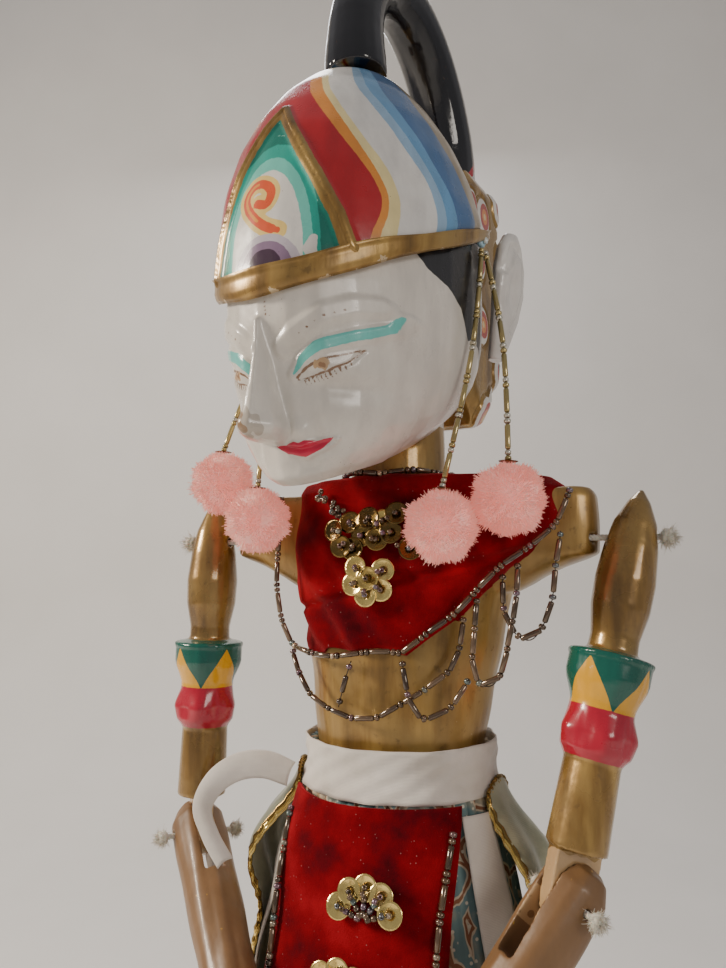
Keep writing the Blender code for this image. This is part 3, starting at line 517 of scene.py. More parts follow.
def smooth_route(points, count):
    """Evenly spaced points on a smooth curve through given points."""
    points = np.array(points, float)
    ends = np.vstack([2 * points[0] - points[1], points, 2 * points[-1] - points[-2]])
    fine = []
    for a, b, c, d in zip(ends, ends[1:], ends[2:], ends[3:]):
        for t in np.arange(24) / 24:
            fine.append(0.5 * (2 * b + (c - a) * t + (2 * a - 5 * b + 4 * c - d) * t * t
                               + (3 * b - a - 3 * c + d) * t ** 3))
    fine = np.array(fine + [points[-1]])
    along = np.concatenate([[0], np.cumsum(np.linalg.norm(np.diff(fine, axis=0), axis=1))])
    want = np.linspace(0, along[-1], count)
    return np.stack([np.interp(want, along, line) for line in fine.T], axis=1)


def unit(vector):
    vector = np.array(vector, float)
    return vector / np.linalg.norm(vector)


def square_to(vector, other):
    return unit(vector - other * (vector @ other))


def upright(along):
    """A direction that is well away from along."""
    return np.array((0, 0, 1.0)) if abs(along[2]) < 0.9 else np.array((1.0, 0, 0))


def ring(middle, radius, first, second, sides):
    """Points round a circle that runs from the first direction towards the second."""
    angles = [2 * math.pi * k / sides for k in range(sides)]
    return [middle + radius * (math.cos(a) * first + math.sin(a) * second) for a in angles]


def grid_faces(wide, tall, closed=False, looped=False):
    """Quads between rows of points: closed joins each row's ends, looped the last row to the first."""
    faces = []
    for j in range(tall if looped else tall - 1):
        low = j * wide
        high = (j + 1) % tall * wide
        for i in range(wide if closed else wide - 1):
            after = (i + 1) % wide
            faces.append((low + i, low + after, high + after, high + i))
    return faces


def tube(route, radii, sides=8):
    """A round cord along a route, without twist."""
    route = np.array(route, float)
    verts = []
    normal = None
    for i, (point, radius) in enumerate(zip(route, radii)):
        along = unit(route[min(i + 1, len(route) - 1)] - route[max(i - 1, 0)])
        normal = square_to(upright(along) if normal is None else normal, along)
        verts += ring(point, radius, normal, np.cross(along, normal), sides)
    faces = grid_faces(sides, len(route), True)
    faces.append(tuple(reversed(range(sides))))
    faces.append(tuple(range(len(verts) - sides, len(verts))))
    return verts, faces


def assembled(name, parts, mat, body, slot, *nodes):
    """Several (points, faces, tone) as one piece that rides on a body."""
    verts = []
    faces = []
    tones = []
    for points, cells, tone in parts:
        base = len(verts)
        verts.extend(points)
        faces.extend(tuple(base + i for i in cell) for cell in cells)
        tones.extend(np.broadcast_to(tone, len(points)))
    obj = mesh_object(name, verts, faces, mat, tone=tones)
    return fit(obj, body, slot, *nodes) if body else obj


def bead(middle, along, radius, length, sides=9):
    """One bead with its hole, round at its rims."""
    along = unit(along)
    normal = unit(np.cross(along, upright(along)))
    side = np.cross(along, normal)
    half = length / 2
    rim = min(radius * 0.45, half * 0.5)
    profile = [(radius * 0.35, -half + rim * 0.3), (radius * 0.72, -half), (radius, -half + rim),
               (radius, half - rim), (radius * 0.72, half), (radius * 0.35, half - rim * 0.3)]
    verts = []
    for reach, at in profile:
        verts += ring(np.array(middle) + along * at, reach, normal, side, sides)
    return verts, grid_faces(sides, len(profile), True, True)


def strung(route, bugle, radius, start_seeds=1, seeds=2):
    """A thread of long bugle beads with small seed beads between, as (points, faces, tone) parts."""
    route = np.array(route, float)
    along = np.concatenate([[0], np.cumsum(np.linalg.norm(np.diff(route, axis=0), axis=1))])

    def at(distance):
        return np.array([np.interp(distance, along, route[:, k]) for k in range(3)])

    parts = [(*tube(route, [0.00022] * len(route), 5), 0.05)]
    seed = radius * 1.45
    lengths = [seed] * start_seeds
    pattern = [bugle] + [seed] * seeds
    while sum(lengths) + sum(pattern) < along[-1]:
        lengths += pattern
    spare = (along[-1] - sum(lengths)) / max(1, len(lengths))
    reach = 0.0
    for length in lengths:
        low = at(reach + spare * 0.5)
        high = at(reach + spare * 0.5 + length)
        middle = (low + high) / 2
        long = length > seed * 1.5
        wide = radius * (0.86 if long else RNG.uniform(0.92, 1.12))
        tone = float(RNG.uniform(0.05, 0.6) if long else RNG.uniform(0.1, 1.0))
        size = length * (0.985 if long else 0.93)
        parts.append((*bead(middle, high - low, wide, size), tone))
        reach += length + spare
    return parts


def sequin(middle, outward, radius, lean=(0, 0, 0)):
    """A small cupped foil disc with a hole."""
    outward = unit(np.array(outward, float) + np.array(lean, float))
    side = unit(np.cross(outward, (0, 0, 1.0)))
    up = np.cross(side, outward)
    verts = []
    sides = 20
    profile = [(0.14, 0.0), (0.45, 0.02), (0.60, 0.10), (0.82, 0.16), (1.0, 0.30),
               (1.0, 0.26), (0.82, 0.12), (0.60, 0.06), (0.45, -0.02), (0.14, -0.04)]
    for reach, lift in profile:
        verts += ring(np.array(middle) + outward * lift * radius * 0.55, radius * reach, side, up, sides)
    return verts, grid_faces(sides, len(profile), True, True)


def fibres(roots, tips, radius, bend):
    """Fine tapering hairs from roots to tips, each with its own bend and tone."""
    count = len(roots)
    step = tips - roots
    length = np.linalg.norm(step, axis=1, keepdims=True)
    along = step / np.maximum(length, 1e-9)
    rough = RNG.normal(size=(count, 3))
    normal = np.cross(along, rough)
    normal /= np.linalg.norm(normal, axis=1, keepdims=True)
    side = np.cross(along, normal)
    sway = (normal * RNG.normal(size=(count, 1)) + side * RNG.normal(size=(count, 1))) * bend
    verts = np.empty((count, 4, 3, 3))
    for i, share in enumerate((0.0, 0.35, 0.7, 1.0)):
        middle = roots + step * share + sway * length * share * share
        thick = radius * (1.0 - 0.65 * share)
        for k in range(3):
            angle = 2 * math.pi * k / 3
            verts[:, i, k] = middle + thick * (math.cos(angle) * normal + math.sin(angle) * side)
    cells = []
    for i in range(3):
        for k in range(3):
            after = (k + 1) % 3
            cells.append((i * 3 + k, i * 3 + after, i * 3 + 3 + after, i * 3 + 3 + k))
    cells.append((11, 10, 9, 9))
    base = np.array(cells)[None] + (np.arange(count) * 12)[:, None, None]
    faces = [tuple(cell[:3]) if cell[2] == cell[3] else tuple(cell)
             for cell in base.reshape(-1, 4).tolist()]
    tones = np.repeat(RNG.uniform(0, 1, count), 12)
    return verts.reshape(-1, 3), faces, tones


def directions(count):
    found = RNG.normal(size=(count, 3))
    return found / np.linalg.norm(found, axis=1, keepdims=True)


# ---------------------------------------------------------------- head

def from_head(points, angle=HEAD_YAW):
    """World places of points given in the head's own directions, where the face looks to -Y."""
    points = np.array(points, float).reshape(-1, 3)
    c = math.cos(angle)
    s = math.sin(angle)
    x = points[:, 0] * c - points[:, 1] * s
    y = points[:, 0] * s + points[:, 1] * c
    return np.stack([x, y, points[:, 2]], axis=1)


def to_head(points):
    return from_head(points, -HEAD_YAW)


FACE_MIDDLE = 0.0018              # the face's own middle line, in head x
LID = [(0.0093, 0.4609), (0.0123, 0.4653), (0.0171, 0.4691), (0.0226, 0.4715),
       (0.0284, 0.4739), (0.0333, 0.4767), (0.0358, 0.4812)]
BROW = [(0.0072, 0.4690), (0.0119, 0.4732), (0.0202, 0.4795), (0.0264, 0.4823), (0.0311, 0.4832)]
EYE_LINE = [(0.0098, 0.4596), (0.0135, 0.4628), (0.0185, 0.4652), (0.0235, 0.4672),
            (0.0275, 0.4692)]
EYE_LOW = [(0.0100, 0.4592), (0.0140, 0.4601), (0.0190, 0.4615), (0.0240, 0.4648),
           (0.0272, 0.4688)]
LIPS = [(-0.0005, 0.4392), (0.0035, 0.4393), (0.0062, 0.4402), (0.0080, 0.4396), (0.0098, 0.4404),
        (0.0130, 0.4405), (0.0178, 0.4416), (0.0145, 0.4380), (0.0095, 0.4352), (0.0040, 0.4364)]


def mirrored(route):
    return [(2 * FACE_MIDDLE - x, z) for x, z in route]


def build_face():
    obj = skin("head_carving", 0.00055, 16)
    points = to_head(places(obj))
    front = points[:, [0, 2]]
    ahead = points[:, 1] < -0.045
    lift = np.zeros(len(points))
    for side in (1, -1):
        x = FACE_MIDDLE + side * 0.0165
        lid, brow = (LID, BROW) if side > 0 else (mirrored(LID), mirrored(BROW))
        lift += 0.0013 * bulge(front, (x, 0.4635), (0.0085, 0.0040))
        lift -= 0.0022 * bulge(front, (FACE_MIDDLE + side * 0.0075, 0.4655), (0.0040, 0.0060))
        lift -= 0.0010 * bulge(front, (x, 0.4570), (0.0100, 0.0030))
        lift += 0.0009 * np.clip(stroke(front, lid, [0.0015] * 7) / 0.0015 + 0.8, 0, 1)
        lift += 0.0012 * np.clip(stroke(front, brow, [0.0020] * 5) / 0.0020 + 1.0, 0, 1)
        low = EYE_LOW if side > 0 else mirrored(EYE_LOW)
        lift -= 0.0004 * np.clip(stroke(front, low, [0.0003] * 5) / 0.0005 + 1.0, 0, 1)
        lift += 0.0020 * bulge(front, (FACE_MIDDLE + side * 0.0068, 0.4438), (0.0036, 0.0032))
        lift += 0.0014 * bulge(front, (FACE_MIDDLE + side * 0.0200, 0.4470), (0.0100, 0.0090))
        lift -= 0.0012 * bulge(front, (FACE_MIDDLE + side * 0.0110, 0.4415), (0.0022, 0.0040))
    lips = patch(front, LIPS)
    lift += 0.0014 * np.clip(lips / 0.0012 + 0.7, 0, 1)
    seam = [(0.0010, 0.4393), (0.0050, 0.4386), (0.0080, 0.4380), (0.0110, 0.4388), (0.0165, 0.4408)]
    lift -= 0.0009 * np.clip(stroke(front, seam, [0.0003] * 5) / 0.0006 + 1, 0, 1)
    lift -= 0.0010 * bulge(front, (0.0070, 0.4328), (0.0060, 0.0022))
    world = places(obj) + normals(obj) * (lift * ahead)[:, None]
    move_to(obj, world)
    points = to_head(places(obj))
    front = points[:, [0, 2]]
    side_on = np.stack([points[:, 1], points[:, 2]], axis=1)
    teal = (0.16, 0.60, 0.54)
    brown = (0.24, 0.13, 0.07)
    hair = [(-0.0590, 0.5090), (-0.0494, 0.5015), (-0.0382, 0.4983), (-0.0287, 0.4929),
            (-0.0229, 0.4825), (-0.0195, 0.4840), (-0.0120, 0.4830), (0.0060, 0.4720),
            (0.0600, 0.4640), (0.0600, 0.5700), (-0.0590, 0.5700)]
    layers = [(both(patch(side_on, hair), np.abs(points[:, 0]) + 0.05 * (points[:, 1] > 0) - 0.022),
               (0.012, 0.011, 0.013))]
    width = [0.0003, 0.0015, 0.0018, 0.0017, 0.0016, 0.0014, 0.0004]
    facing = -0.040 - points[:, 1]
    for turn in (list, mirrored):
        layers.append((both(stroke(front, turn(LID), width), facing), teal))
        line = np.maximum(stroke(front, turn(EYE_LINE), [0.00020, 0.00034, 0.00036, 0.00034, 0.0002]),
                          stroke(front, turn(EYE_LOW), [0.00018, 0.00024, 0.00026, 0.00024, 0.00018]))
        for k in range(11):
            x = 0.0118 + 0.00125 * k
            z = np.interp(x, [p[0] for p in EYE_LOW], [p[1] for p in EYE_LOW]) - 0.0007
            tick = turn([(x, z), (x + 0.0004, z - 0.0011)])
            line = np.maximum(line, stroke(front, tick, [0.00028, 0.00016]))
        for k in range(7):
            x = 0.0130 + 0.0024 * k
            z = np.interp(x, [p[0] for p in BROW], [p[1] for p in BROW]) - 0.0012
            dot = turn([(x, z), (x + 0.0001, z)])
            line = np.maximum(line, stroke(front, dot, [0.00026 + 0.0001 * (k % 2)] * 2))
        layers.append((both(line, facing), brown))
        iris = turn([(0.0176, 0.4634), (0.0186, 0.4637)])
        ragged = 0.0005 * mottled(points, 2200)
        layers.append((both(stroke(front, iris, [0.0017, 0.0017]) + ragged, facing),
                       (0.55, 0.36, 0.20)))
        layers.append((both(stroke(front, iris, [0.0009, 0.0007]) + ragged, facing),
                       (0.34, 0.19, 0.10)))
    dots = np.full(len(points), -1.0)
    for k in range(4):
        dots = np.maximum(dots, stroke(front, [(0.0025, 0.4795 + 0.0013 * k),
                                               (0.0026, 0.4799 + 0.0013 * k)], [0.0003] * 2))
    layers.append((both(dots, facing), brown))
    layers.append((both(patch(front, LIPS), facing), (0.66, 0.015, 0.06)))
    nose_tip = points[np.argmin(points[:, 1])]
    tip = 0.0066 - np.linalg.norm((points - nose_tip) * (1.0, 0.7, 0.8), axis=1)
    worn_tip = 0.0012 * mottled(points, 1100)
    layers.append((tip + worn_tip - 0.0020, (0.52, 0.46, 0.39)))
    layers.append((tip + worn_tip - 0.0042, (0.33, 0.21, 0.12)))
    neck = both(NECK_RADIUS + 0.0022 - np.linalg.norm(points[:, :2], axis=1),
                0.4570 - points[:, 2])
    layers.append((neck, BRONZE))
    paint(obj, (0.74, 0.69, 0.62), layers, metal_layers=(len(layers) - 1,), rough=0.24,
          grime=0.22, chip=0.73)
    fit(obj, "head", "white_lacquer", "head_carving")


CROWN_EDGES = (
    # Each stripe's far edge, in degrees round from the front, at six heights from the band up.
    (36.5, 42.5, 40.8, 33.4, 25.0, 8.2), (40.1, 45.1, 43.9, 37.6, 30.0, 14.6),
    (46.7, 49.6, 48.7, 43.1, 33.6, 18.0), (64.5, 68.7, 68.5, 62.3, 51.3, 31.9),
    (70.4, 74.7, 75.3, 69.1, 58.9, 37.8), (77.0, 82.3, 84.0, 77.7, 67.0, 46.9),
    (96.0, 101.0, 104.0, 99.0, 92.0, 72.0),
)
CROWN_HEIGHTS = (0.5030, 0.5155, 0.5220, 0.5310, 0.5420, 0.5660)
CROWN_COLOURS = ((0.74, 0.27, 0.035), (0.84, 0.70, 0.34), (0.78, 0.76, 0.73), (0.30, 0.47, 0.66),
                 (0.13, 0.33, 0.58), (0.035, 0.13, 0.32), (0.26, 0.19, 0.10))
PANEL = [(0.0020, 0.5535), (0.0100, 0.5395), (0.0185, 0.5242), (0.0250, 0.5100), (0.0315, 0.4860),
         (-0.0225, 0.4840), (-0.0175, 0.5060), (-0.0130, 0.5200), (-0.0060, 0.5385)]
BAND_PLACES = (-0.0951, -0.0820, -0.0705, -0.0570, -0.0145, 0.0285)
BAND_HEIGHTS = (0.4892, 0.4960, 0.5015, 0.5070, 0.5252, 0.5450)
HOOK = [(0.0088, 0.5052), (0.0050, 0.5068), (0.0008, 0.5100), (-0.0035, 0.5150), (-0.0048, 0.5195),
        (-0.0020, 0.5228), (0.0022, 0.5228), (0.0052, 0.5195), (0.0040, 0.5152), (0.0004, 0.5160)]


def build_crown():
    obj = skin("crown", 0.0006, 110)
    points = to_head(places(obj))
    front = points[:, [0, 2]]
    ahead = -0.055 - points[:, 1]
    ridge = both(np.maximum(stroke(front, PANEL[:5], [0.0020] * 5),
                            stroke(front, PANEL[5:] + PANEL[:1], [0.0020] * 5)), ahead)
    inside = both(patch(front, PANEL), ahead)
    lift = 0.0013 * np.clip(ridge / 0.0020 + 0.5, 0, 1) - 0.0006 * (inside > 0)
    move_to(obj, places(obj) + normals(obj) * lift[:, None])
    y = points[:, 1] + 0.033
    round_front = np.degrees(np.arctan2(np.abs(points[:, 0]), -y))
    reach = np.hypot(points[:, 0], y) * math.pi / 180
    layers = []
    above = np.clip(points[:, 2] - 0.5660, 0, 0.03)
    for i, (edges, colour) in enumerate(zip(CROWN_EDGES, CROWN_COLOURS)):
        edge = sum(np.interp(points[:, 2] + 0.002 * step, CROWN_HEIGHTS, edges)
                   for step in (-2, -1, 0, 1, 2)) / 5
        edge = edge - above * (320 - 40 * i)
        layers.append(((round_front - np.maximum(edge, 3.0 + 4 * i)) * reach, colour))
    inside = both(patch(front, PANEL), ahead)
    layers.append((inside, (0.0, 0.17, 0.125)))
    for k in range(1, 13, 2):
        a = np.array(PANEL[0]) * (1 - k / 13) + np.array(PANEL[3]) * (k / 13)
        vein = stroke(front, [a - (0.0016, 0.0022), a - (0.0046, 0.0012)], [0.00022, 0.00012])
        layers.append((both(vein, inside), (0.30, 0.62, 0.50)))
    for half, tall, colour in ((0.0180, 0.0405, (0.015, 0.36, 0.28)),
                               (0.0160, 0.0350, (0.16, 0.60, 0.50)),
                               (0.0132, 0.0300, (0.80, 0.77, 0.72))):
        layers.append((both(arch(front, (0.0035, 0.4975), half, tall), inside), colour))
    hook = smooth_route(HOOK, 40)
    layers.append((both(stroke(front, hook, [0.0032] * 40), inside), (0.86, 0.62, 0.20)))
    layers.append((both(stroke(front, hook, [0.0010] * 2 + [0.0016] * 38), inside),
                   (0.74, 0.10, 0.03)))
    layers.append((both(stroke(front, hook[8:26], [0.0005] * 18), inside), (0.83, 0.33, 0.05)))
    for half, tall, colour in ((0.0118, 0.0110, (0.56, 0.50, 0.56)), (0.0092, 0.0086, (0.26, 0.17, 0.27)),
                               (0.0060, 0.0060, (0.055, 0.022, 0.050))):
        layers.append((both(arch(front, (0.0045, 0.4935), half, tall), inside), colour))
    layers.append((ridge, BRONZE))
    blob = stroke(front, [(0.0195, 0.5020), (0.0185, 0.4985), (0.0198, 0.4950)],
                  [0.0012, 0.0020, 0.0012])
    layers.append((both(blob, ahead), (0.74, 0.70, 0.66)))
    paint(obj, (0.43, 0.004, 0.010), layers, metal_layers=(len(layers) - 2,), rough=0.24, grime=0.20,
          chip=0.72)
    fit(obj, "head", "crown_paint", "crown")

    # The gold band round the crown's foot, with a rolled upper edge.
    count = 120
    rows = ((0.0, 0.0), (0.12, 0.55), (0.35, 0.92), (0.65, 0.88), (0.85, 1.0), (0.95, 1.45),
            (1.0, 1.1), (1.0, 0.2))
    verts = []
    for share, out in rows:
        for k in range(count):
            angle = 2 * math.pi * k / count
            s = math.sin(angle)
            y = -0.024 + (0.0525 if s > 0 else 0.0712) * s
            rim = np.interp(y, BAND_PLACES, BAND_HEIGHTS)
            half = np.interp(y, (-0.095, -0.070, -0.055, -0.015), (0.0045, 0.0036, 0.0031, 0.0023))
            low = rim - half
            high = rim + half
            grow = 1.0 + 0.030 * out - 0.030
            wobble = 0.00025 * math.sin(9 * angle + 3 * share)
            x = 0.0477 * math.cos(angle) * grow
            verts.append((x, -0.024 + (y + 0.024) * grow, low + (high - low) * share + wobble))
    band = mesh_object("crown_band", from_head(verts), grid_faces(count, len(rows), True, True),
                       bronze_shade("band_bronze"))
    fit(band, "head", "crown_paint")


def build_curl():
    obj = skin("hair_curl", 0.0008, 8)
    points = to_head(places(obj))
    tail = patch(points[:, [1, 2]], [(0.0440, 0.5850), (0.0700, 0.5850), (0.0700, 0.6150),
                                     (0.0580, 0.6120), (0.0560, 0.6000)])
    layers = [(tail, (0.42, 0.03, 0.04)), (tail - 0.0032, (0.55, 0.60, 0.62)),
              (tail - 0.0055, (0.10, 0.26, 0.50))]
    paint(obj, (0.008, 0.008, 0.011), layers, rough=0.05, grime=0.0, chip=0.80)
    fit(obj, "head", "black_lacquer", "hair_curl")


FLAMES = ((0.0580, 0.4760), (0.0660, 0.4930), (0.0690, 0.5200), (0.0710, 0.5520), (0.0690, 0.5790),
          (0.0500, 0.4700), (0.0420, 0.5420), (0.0440, 0.5120), (0.0480, 0.5660), (0.0340, 0.5660))


def build_ornament():
    obj = skin("back_ornament", 0.0008, 12)
    points = to_head(places(obj))
    side_on = points[:, [1, 2]]
    lift = np.zeros(len(points))
    layers = []
    nearest = np.full(len(points), -1.0)
    for y, z in FLAMES:
        nearest = np.maximum(nearest, arch(side_on, (y, z), 0.0085, 0.0105))
    lift += 0.0012 * np.clip(nearest / 0.003, 0, 1) - 0.0010 * np.clip(
        1 - np.abs(nearest) / 0.0012, 0, 1)
    move_to(obj, places(obj) + normals(obj) * lift[:, None])
    for share, colour in ((0.0000, (0.80, 0.77, 0.72)), (0.0020, (0.42, 0.05, 0.04)),
                          (0.0042, (0.72, 0.24, 0.06)), (0.0060, (0.78, 0.60, 0.30))):
        layers.append((nearest - 0.0012 - share, colour))
    edge = both(0.0712 - points[:, 1], 0.60 - points[:, 2])
    fin = both(-edge, points[:, 2] - 0.525)
    layers.append((fin, (0.10, 0.27, 0.52)))
    teal = stroke(side_on, [(0.0660, 0.4860), (0.0640, 0.4960), (0.0680, 0.5040)], [0.0014] * 3)
    layers.append((teal, (0.05, 0.38, 0.34)))
    paint(obj, BRONZE, layers, bronze_base=True, rough=0.16, grime=0.35, chip=0.70)
    fit(obj, "head", "crown_paint", "back_ornament")


def build_ears():
    for side, name in ((1, "ear_left"), (-1, "ear_right")):
        obj = skin(name, 0.0005, 8)
        points = to_head(places(obj))
        flat = points[:, [1, 2]]
        groove = stroke(flat, [(0.0010, 0.5180), (0.0060, 0.5275), (0.0130, 0.5270), (0.0165, 0.5150),
                               (0.0150, 0.5040), (0.0100, 0.4960)], [0.0016] * 6)
        bowl = bulge(flat, (0.0065, 0.5100), (0.0040, 0.0085))
        outward = np.clip(side * (points[:, 0] - side * 0.0440) / 0.003, 0, 1)
        lift = -0.0014 * np.clip(groove / 0.0016 + 0.8, 0, 1) - 0.0026 * bowl
        move_to(obj, places(obj) + normals(obj) * (lift * outward)[:, None])
        paint(obj, (0.80, 0.77, 0.73), [], rough=0.14, grime=0.3)
        fit(obj, "head", "white_lacquer", name)
        pin = from_head([(side * 0.0452, -0.0150, 0.5232)])[0]
        out = from_head([(side, 0.0, 0.0)])[0]
        parts = [(*bead(pin - out * 0.0004, out, 0.0024, 0.0024, 14), 0.9),
                 (*bead(pin + out * 0.0014, out, 0.0013, 0.0013, 10), 0.2)]
        node = name.replace("ear", "ear_pin")
        assembled(node + "_look", parts, SHADES["blue_bead"], "head", "gold_beads", node)


# ---------------------------------------------------------------- earrings

POMPOM_RADIUS = 0.0122
POMPOMS = {
    "left_front": (1, (0.0300, -0.0440, 0.4146)),
    "left_rear": (1, (0.0520, -0.0388, 0.4236)),
    "right_front": (-1, (-0.0460, -0.0360, 0.4186)),
    "right_rear": (-1, (-0.0650, -0.0310, 0.4345)),
}


def build_pompom(label, middle):
    middle = np.array(middle)
    count = 9000
    out = directions(count)
    roots = middle + out * POMPOM_RADIUS * 0.35
    length = POMPOM_RADIUS * (0.965 + 0.022 * RNG.normal(size=(count, 1)).clip(-1.6, 1.6))
    clump = 0.04 * np.sin(out * 9 + len(label)).sum(axis=1, keepdims=True)
    tips = middle + out * length * (1 + clump) + RNG.normal(size=(count, 3)) * 0.0006
    verts, faces, tones = fibres(roots, tips, 0.00030, 0.10)
    patches = 0.5 + 0.5 * np.sin(out @ np.array((3.1, 2.3, 4.0)) + 1.7 * len(label))
    tones = 0.35 + 0.35 * tones + 0.30 * np.repeat(patches, 12)
    levels = [k / 8 for k in range(-7, 8)]
    core = tube([middle + (0, 0, POMPOM_RADIUS * k) for k in levels],
                [POMPOM_RADIUS * 0.90 * math.sqrt(max(0.02, 1 - (k / 0.90) ** 2)) for k in levels], 16)
    return assembled("pompom_" + label + "_look", [(verts, faces, tones), (*core, 0.5)],
                     SHADES["pink_wool"], "torso", "pink_wool", "pompom_" + label)


def build_earrings():
    for label, (side, middle) in POMPOMS.items():
        spread = -0.0016 if "front" in label else 0.0016
        pin = from_head([(side * 0.0455, -0.0150 + spread, 0.5196)])[0]
        low = np.array(middle) + (0, 0, POMPOM_RADIUS + 0.0006)
        bow = from_head([(side * 0.0030, 0.0, 0.0)])[0]
        route = smooth_route([pin, pin + (low - pin) * 0.15 + bow * 0.5,
                              pin + (low - pin) * 0.45 + bow, pin + (low - pin) * 0.75 + bow * 0.6,
                              low], 28)
        string = assembled("earring_string_" + label + "_look",
                           strung(route, 0.0092, 0.00118, start_seeds=2, seeds=2),
                           SHADES["gold_beads"], None, None)
        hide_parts("earring_string_" + label)
        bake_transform(string)
        pompom = build_pompom(label, middle)
        cup = sequin(low - (0, 0, 0.0006), (0.05, 0.0, 1.0), 0.0034)
        cap = assembled("pompom_cap_" + label, [(*cup, 0.1)], SHADES["sequins"], "torso",
                        "gold_sequins")


# ---------------------------------------------------------------- torso and its beads

LEAN = 0.0045


def build_torso():
    obj = skin("torso", 0.0009, 8, SHADES["bronze"])
    points = places(obj)
    wave = 0.00025 * np.sin(points[:, 0] * 310 + 40 * points[:, 2])
    wave += 0.0002 * np.sin(points[:, 2] * 260)
    move_to(obj, points + normals(obj) * wave[:, None])
    fit(obj, "torso", "bronze_paint", "torso")


BIB = (
    # z, x of the middle, half width, half depth, squareness
    (0.3680, 0.0030, 0.0385, 0.0300, 2.3), (0.3840, 0.0010, 0.0390, 0.0303, 2.4),
    (0.3940, 0.0020, 0.0425, 0.0303, 2.6), (0.4010, 0.0060, 0.0475, 0.0300, 2.8),
    (0.4080, 0.0105, 0.0525, 0.0298, 3.0), (0.4200, 0.0135, 0.0545, 0.0285, 3.0),
    (0.4300, 0.0138, 0.0541, 0.0268, 3.0), (0.4345, 0.0125, 0.0500, 0.0240, 2.8),
    (0.4358, 0.0040, 0.0300, 0.0226, 2.2), (0.4362, 0.0, 0.0212, 0.0212, 2.0),
)


def build_bib():
    across = 220
    down = 100
    heights = np.array([row[0] for row in BIB])
    steps = np.concatenate([[0], np.cumsum(np.hypot(
        np.diff(heights), [0.3 * (a[2] - b[2]) for a, b in zip(BIB, BIB[1:])]))])
    want = np.linspace(0, steps[-1], down)
    table = np.array(BIB)
    verts = []
    for j, at in enumerate(want):
        z, mid, half, deep, power = (np.interp(at, steps, table[:, k]) for k in range(5))
        for k in range(across):
            angle = 2 * math.pi * k / across
            c = math.cos(angle)
            s = math.sin(angle)
            x = mid + half * math.copysign(abs(c) ** (2 / power), c)
            y = deep * math.copysign(abs(s) ** (2 / power), s)
            sag = 0.0022 * math.sin(angle * 3 + 0.6) + 0.0008 * math.sin(angle * 11)
            hem = sag * max(0.0, 1 - j / 18)
            verts.append((x, y, z + hem))
    points = np.array(verts)
    out = points * (1, 1, 0)
    out /= np.maximum(np.linalg.norm(out, axis=1, keepdims=True), 1e-6)
    angle = np.arctan2(points[:, 1], points[:, 0])
    pucker = 0.0009 * np.sin(angle * 9 + points[:, 2] * 140) * np.sin(points[:, 2] * 190 + angle * 2)
    pucker += 0.0006 * np.sin(points[:, 0] * 420 + points[:, 2] * 300)
    fold = -0.0016 * np.clip(1 - np.abs(points[:, 2] - 0.3905 - 0.25 * (points[:, 0] + 0.01))
                             / 0.0022, 0, 1)
    hem = np.clip(1 - (np.arange(len(points)) // across) / 6, 0, 1)
    points += out * (pucker + fold - 0.0010 * hem + 0.0004)[:, None]
    edge = np.array([(x, z) for x, _, z in BIB_EDGE[4:]])
    floor = np.interp(points[:, 0], edge[:, 0], edge[:, 1]) - 0.0022
    cut = (points[:, 1] < 0.004) & (points[:, 0] > 0.010) & (points[:, 2] < floor)
    faces = [cell for cell in grid_faces(across, down, True) if not all(cut[i] for i in cell)]
    points[cut, 2] = np.minimum(floor, points[:, 2] + 0.003)[cut]
    obj = mesh_object("velvet_bib_look", points, faces, SHADES["velvet"])
    thicken(obj, 0.0011, -1)
    fit(obj, "torso", "red_velvet", "velvet_bib")


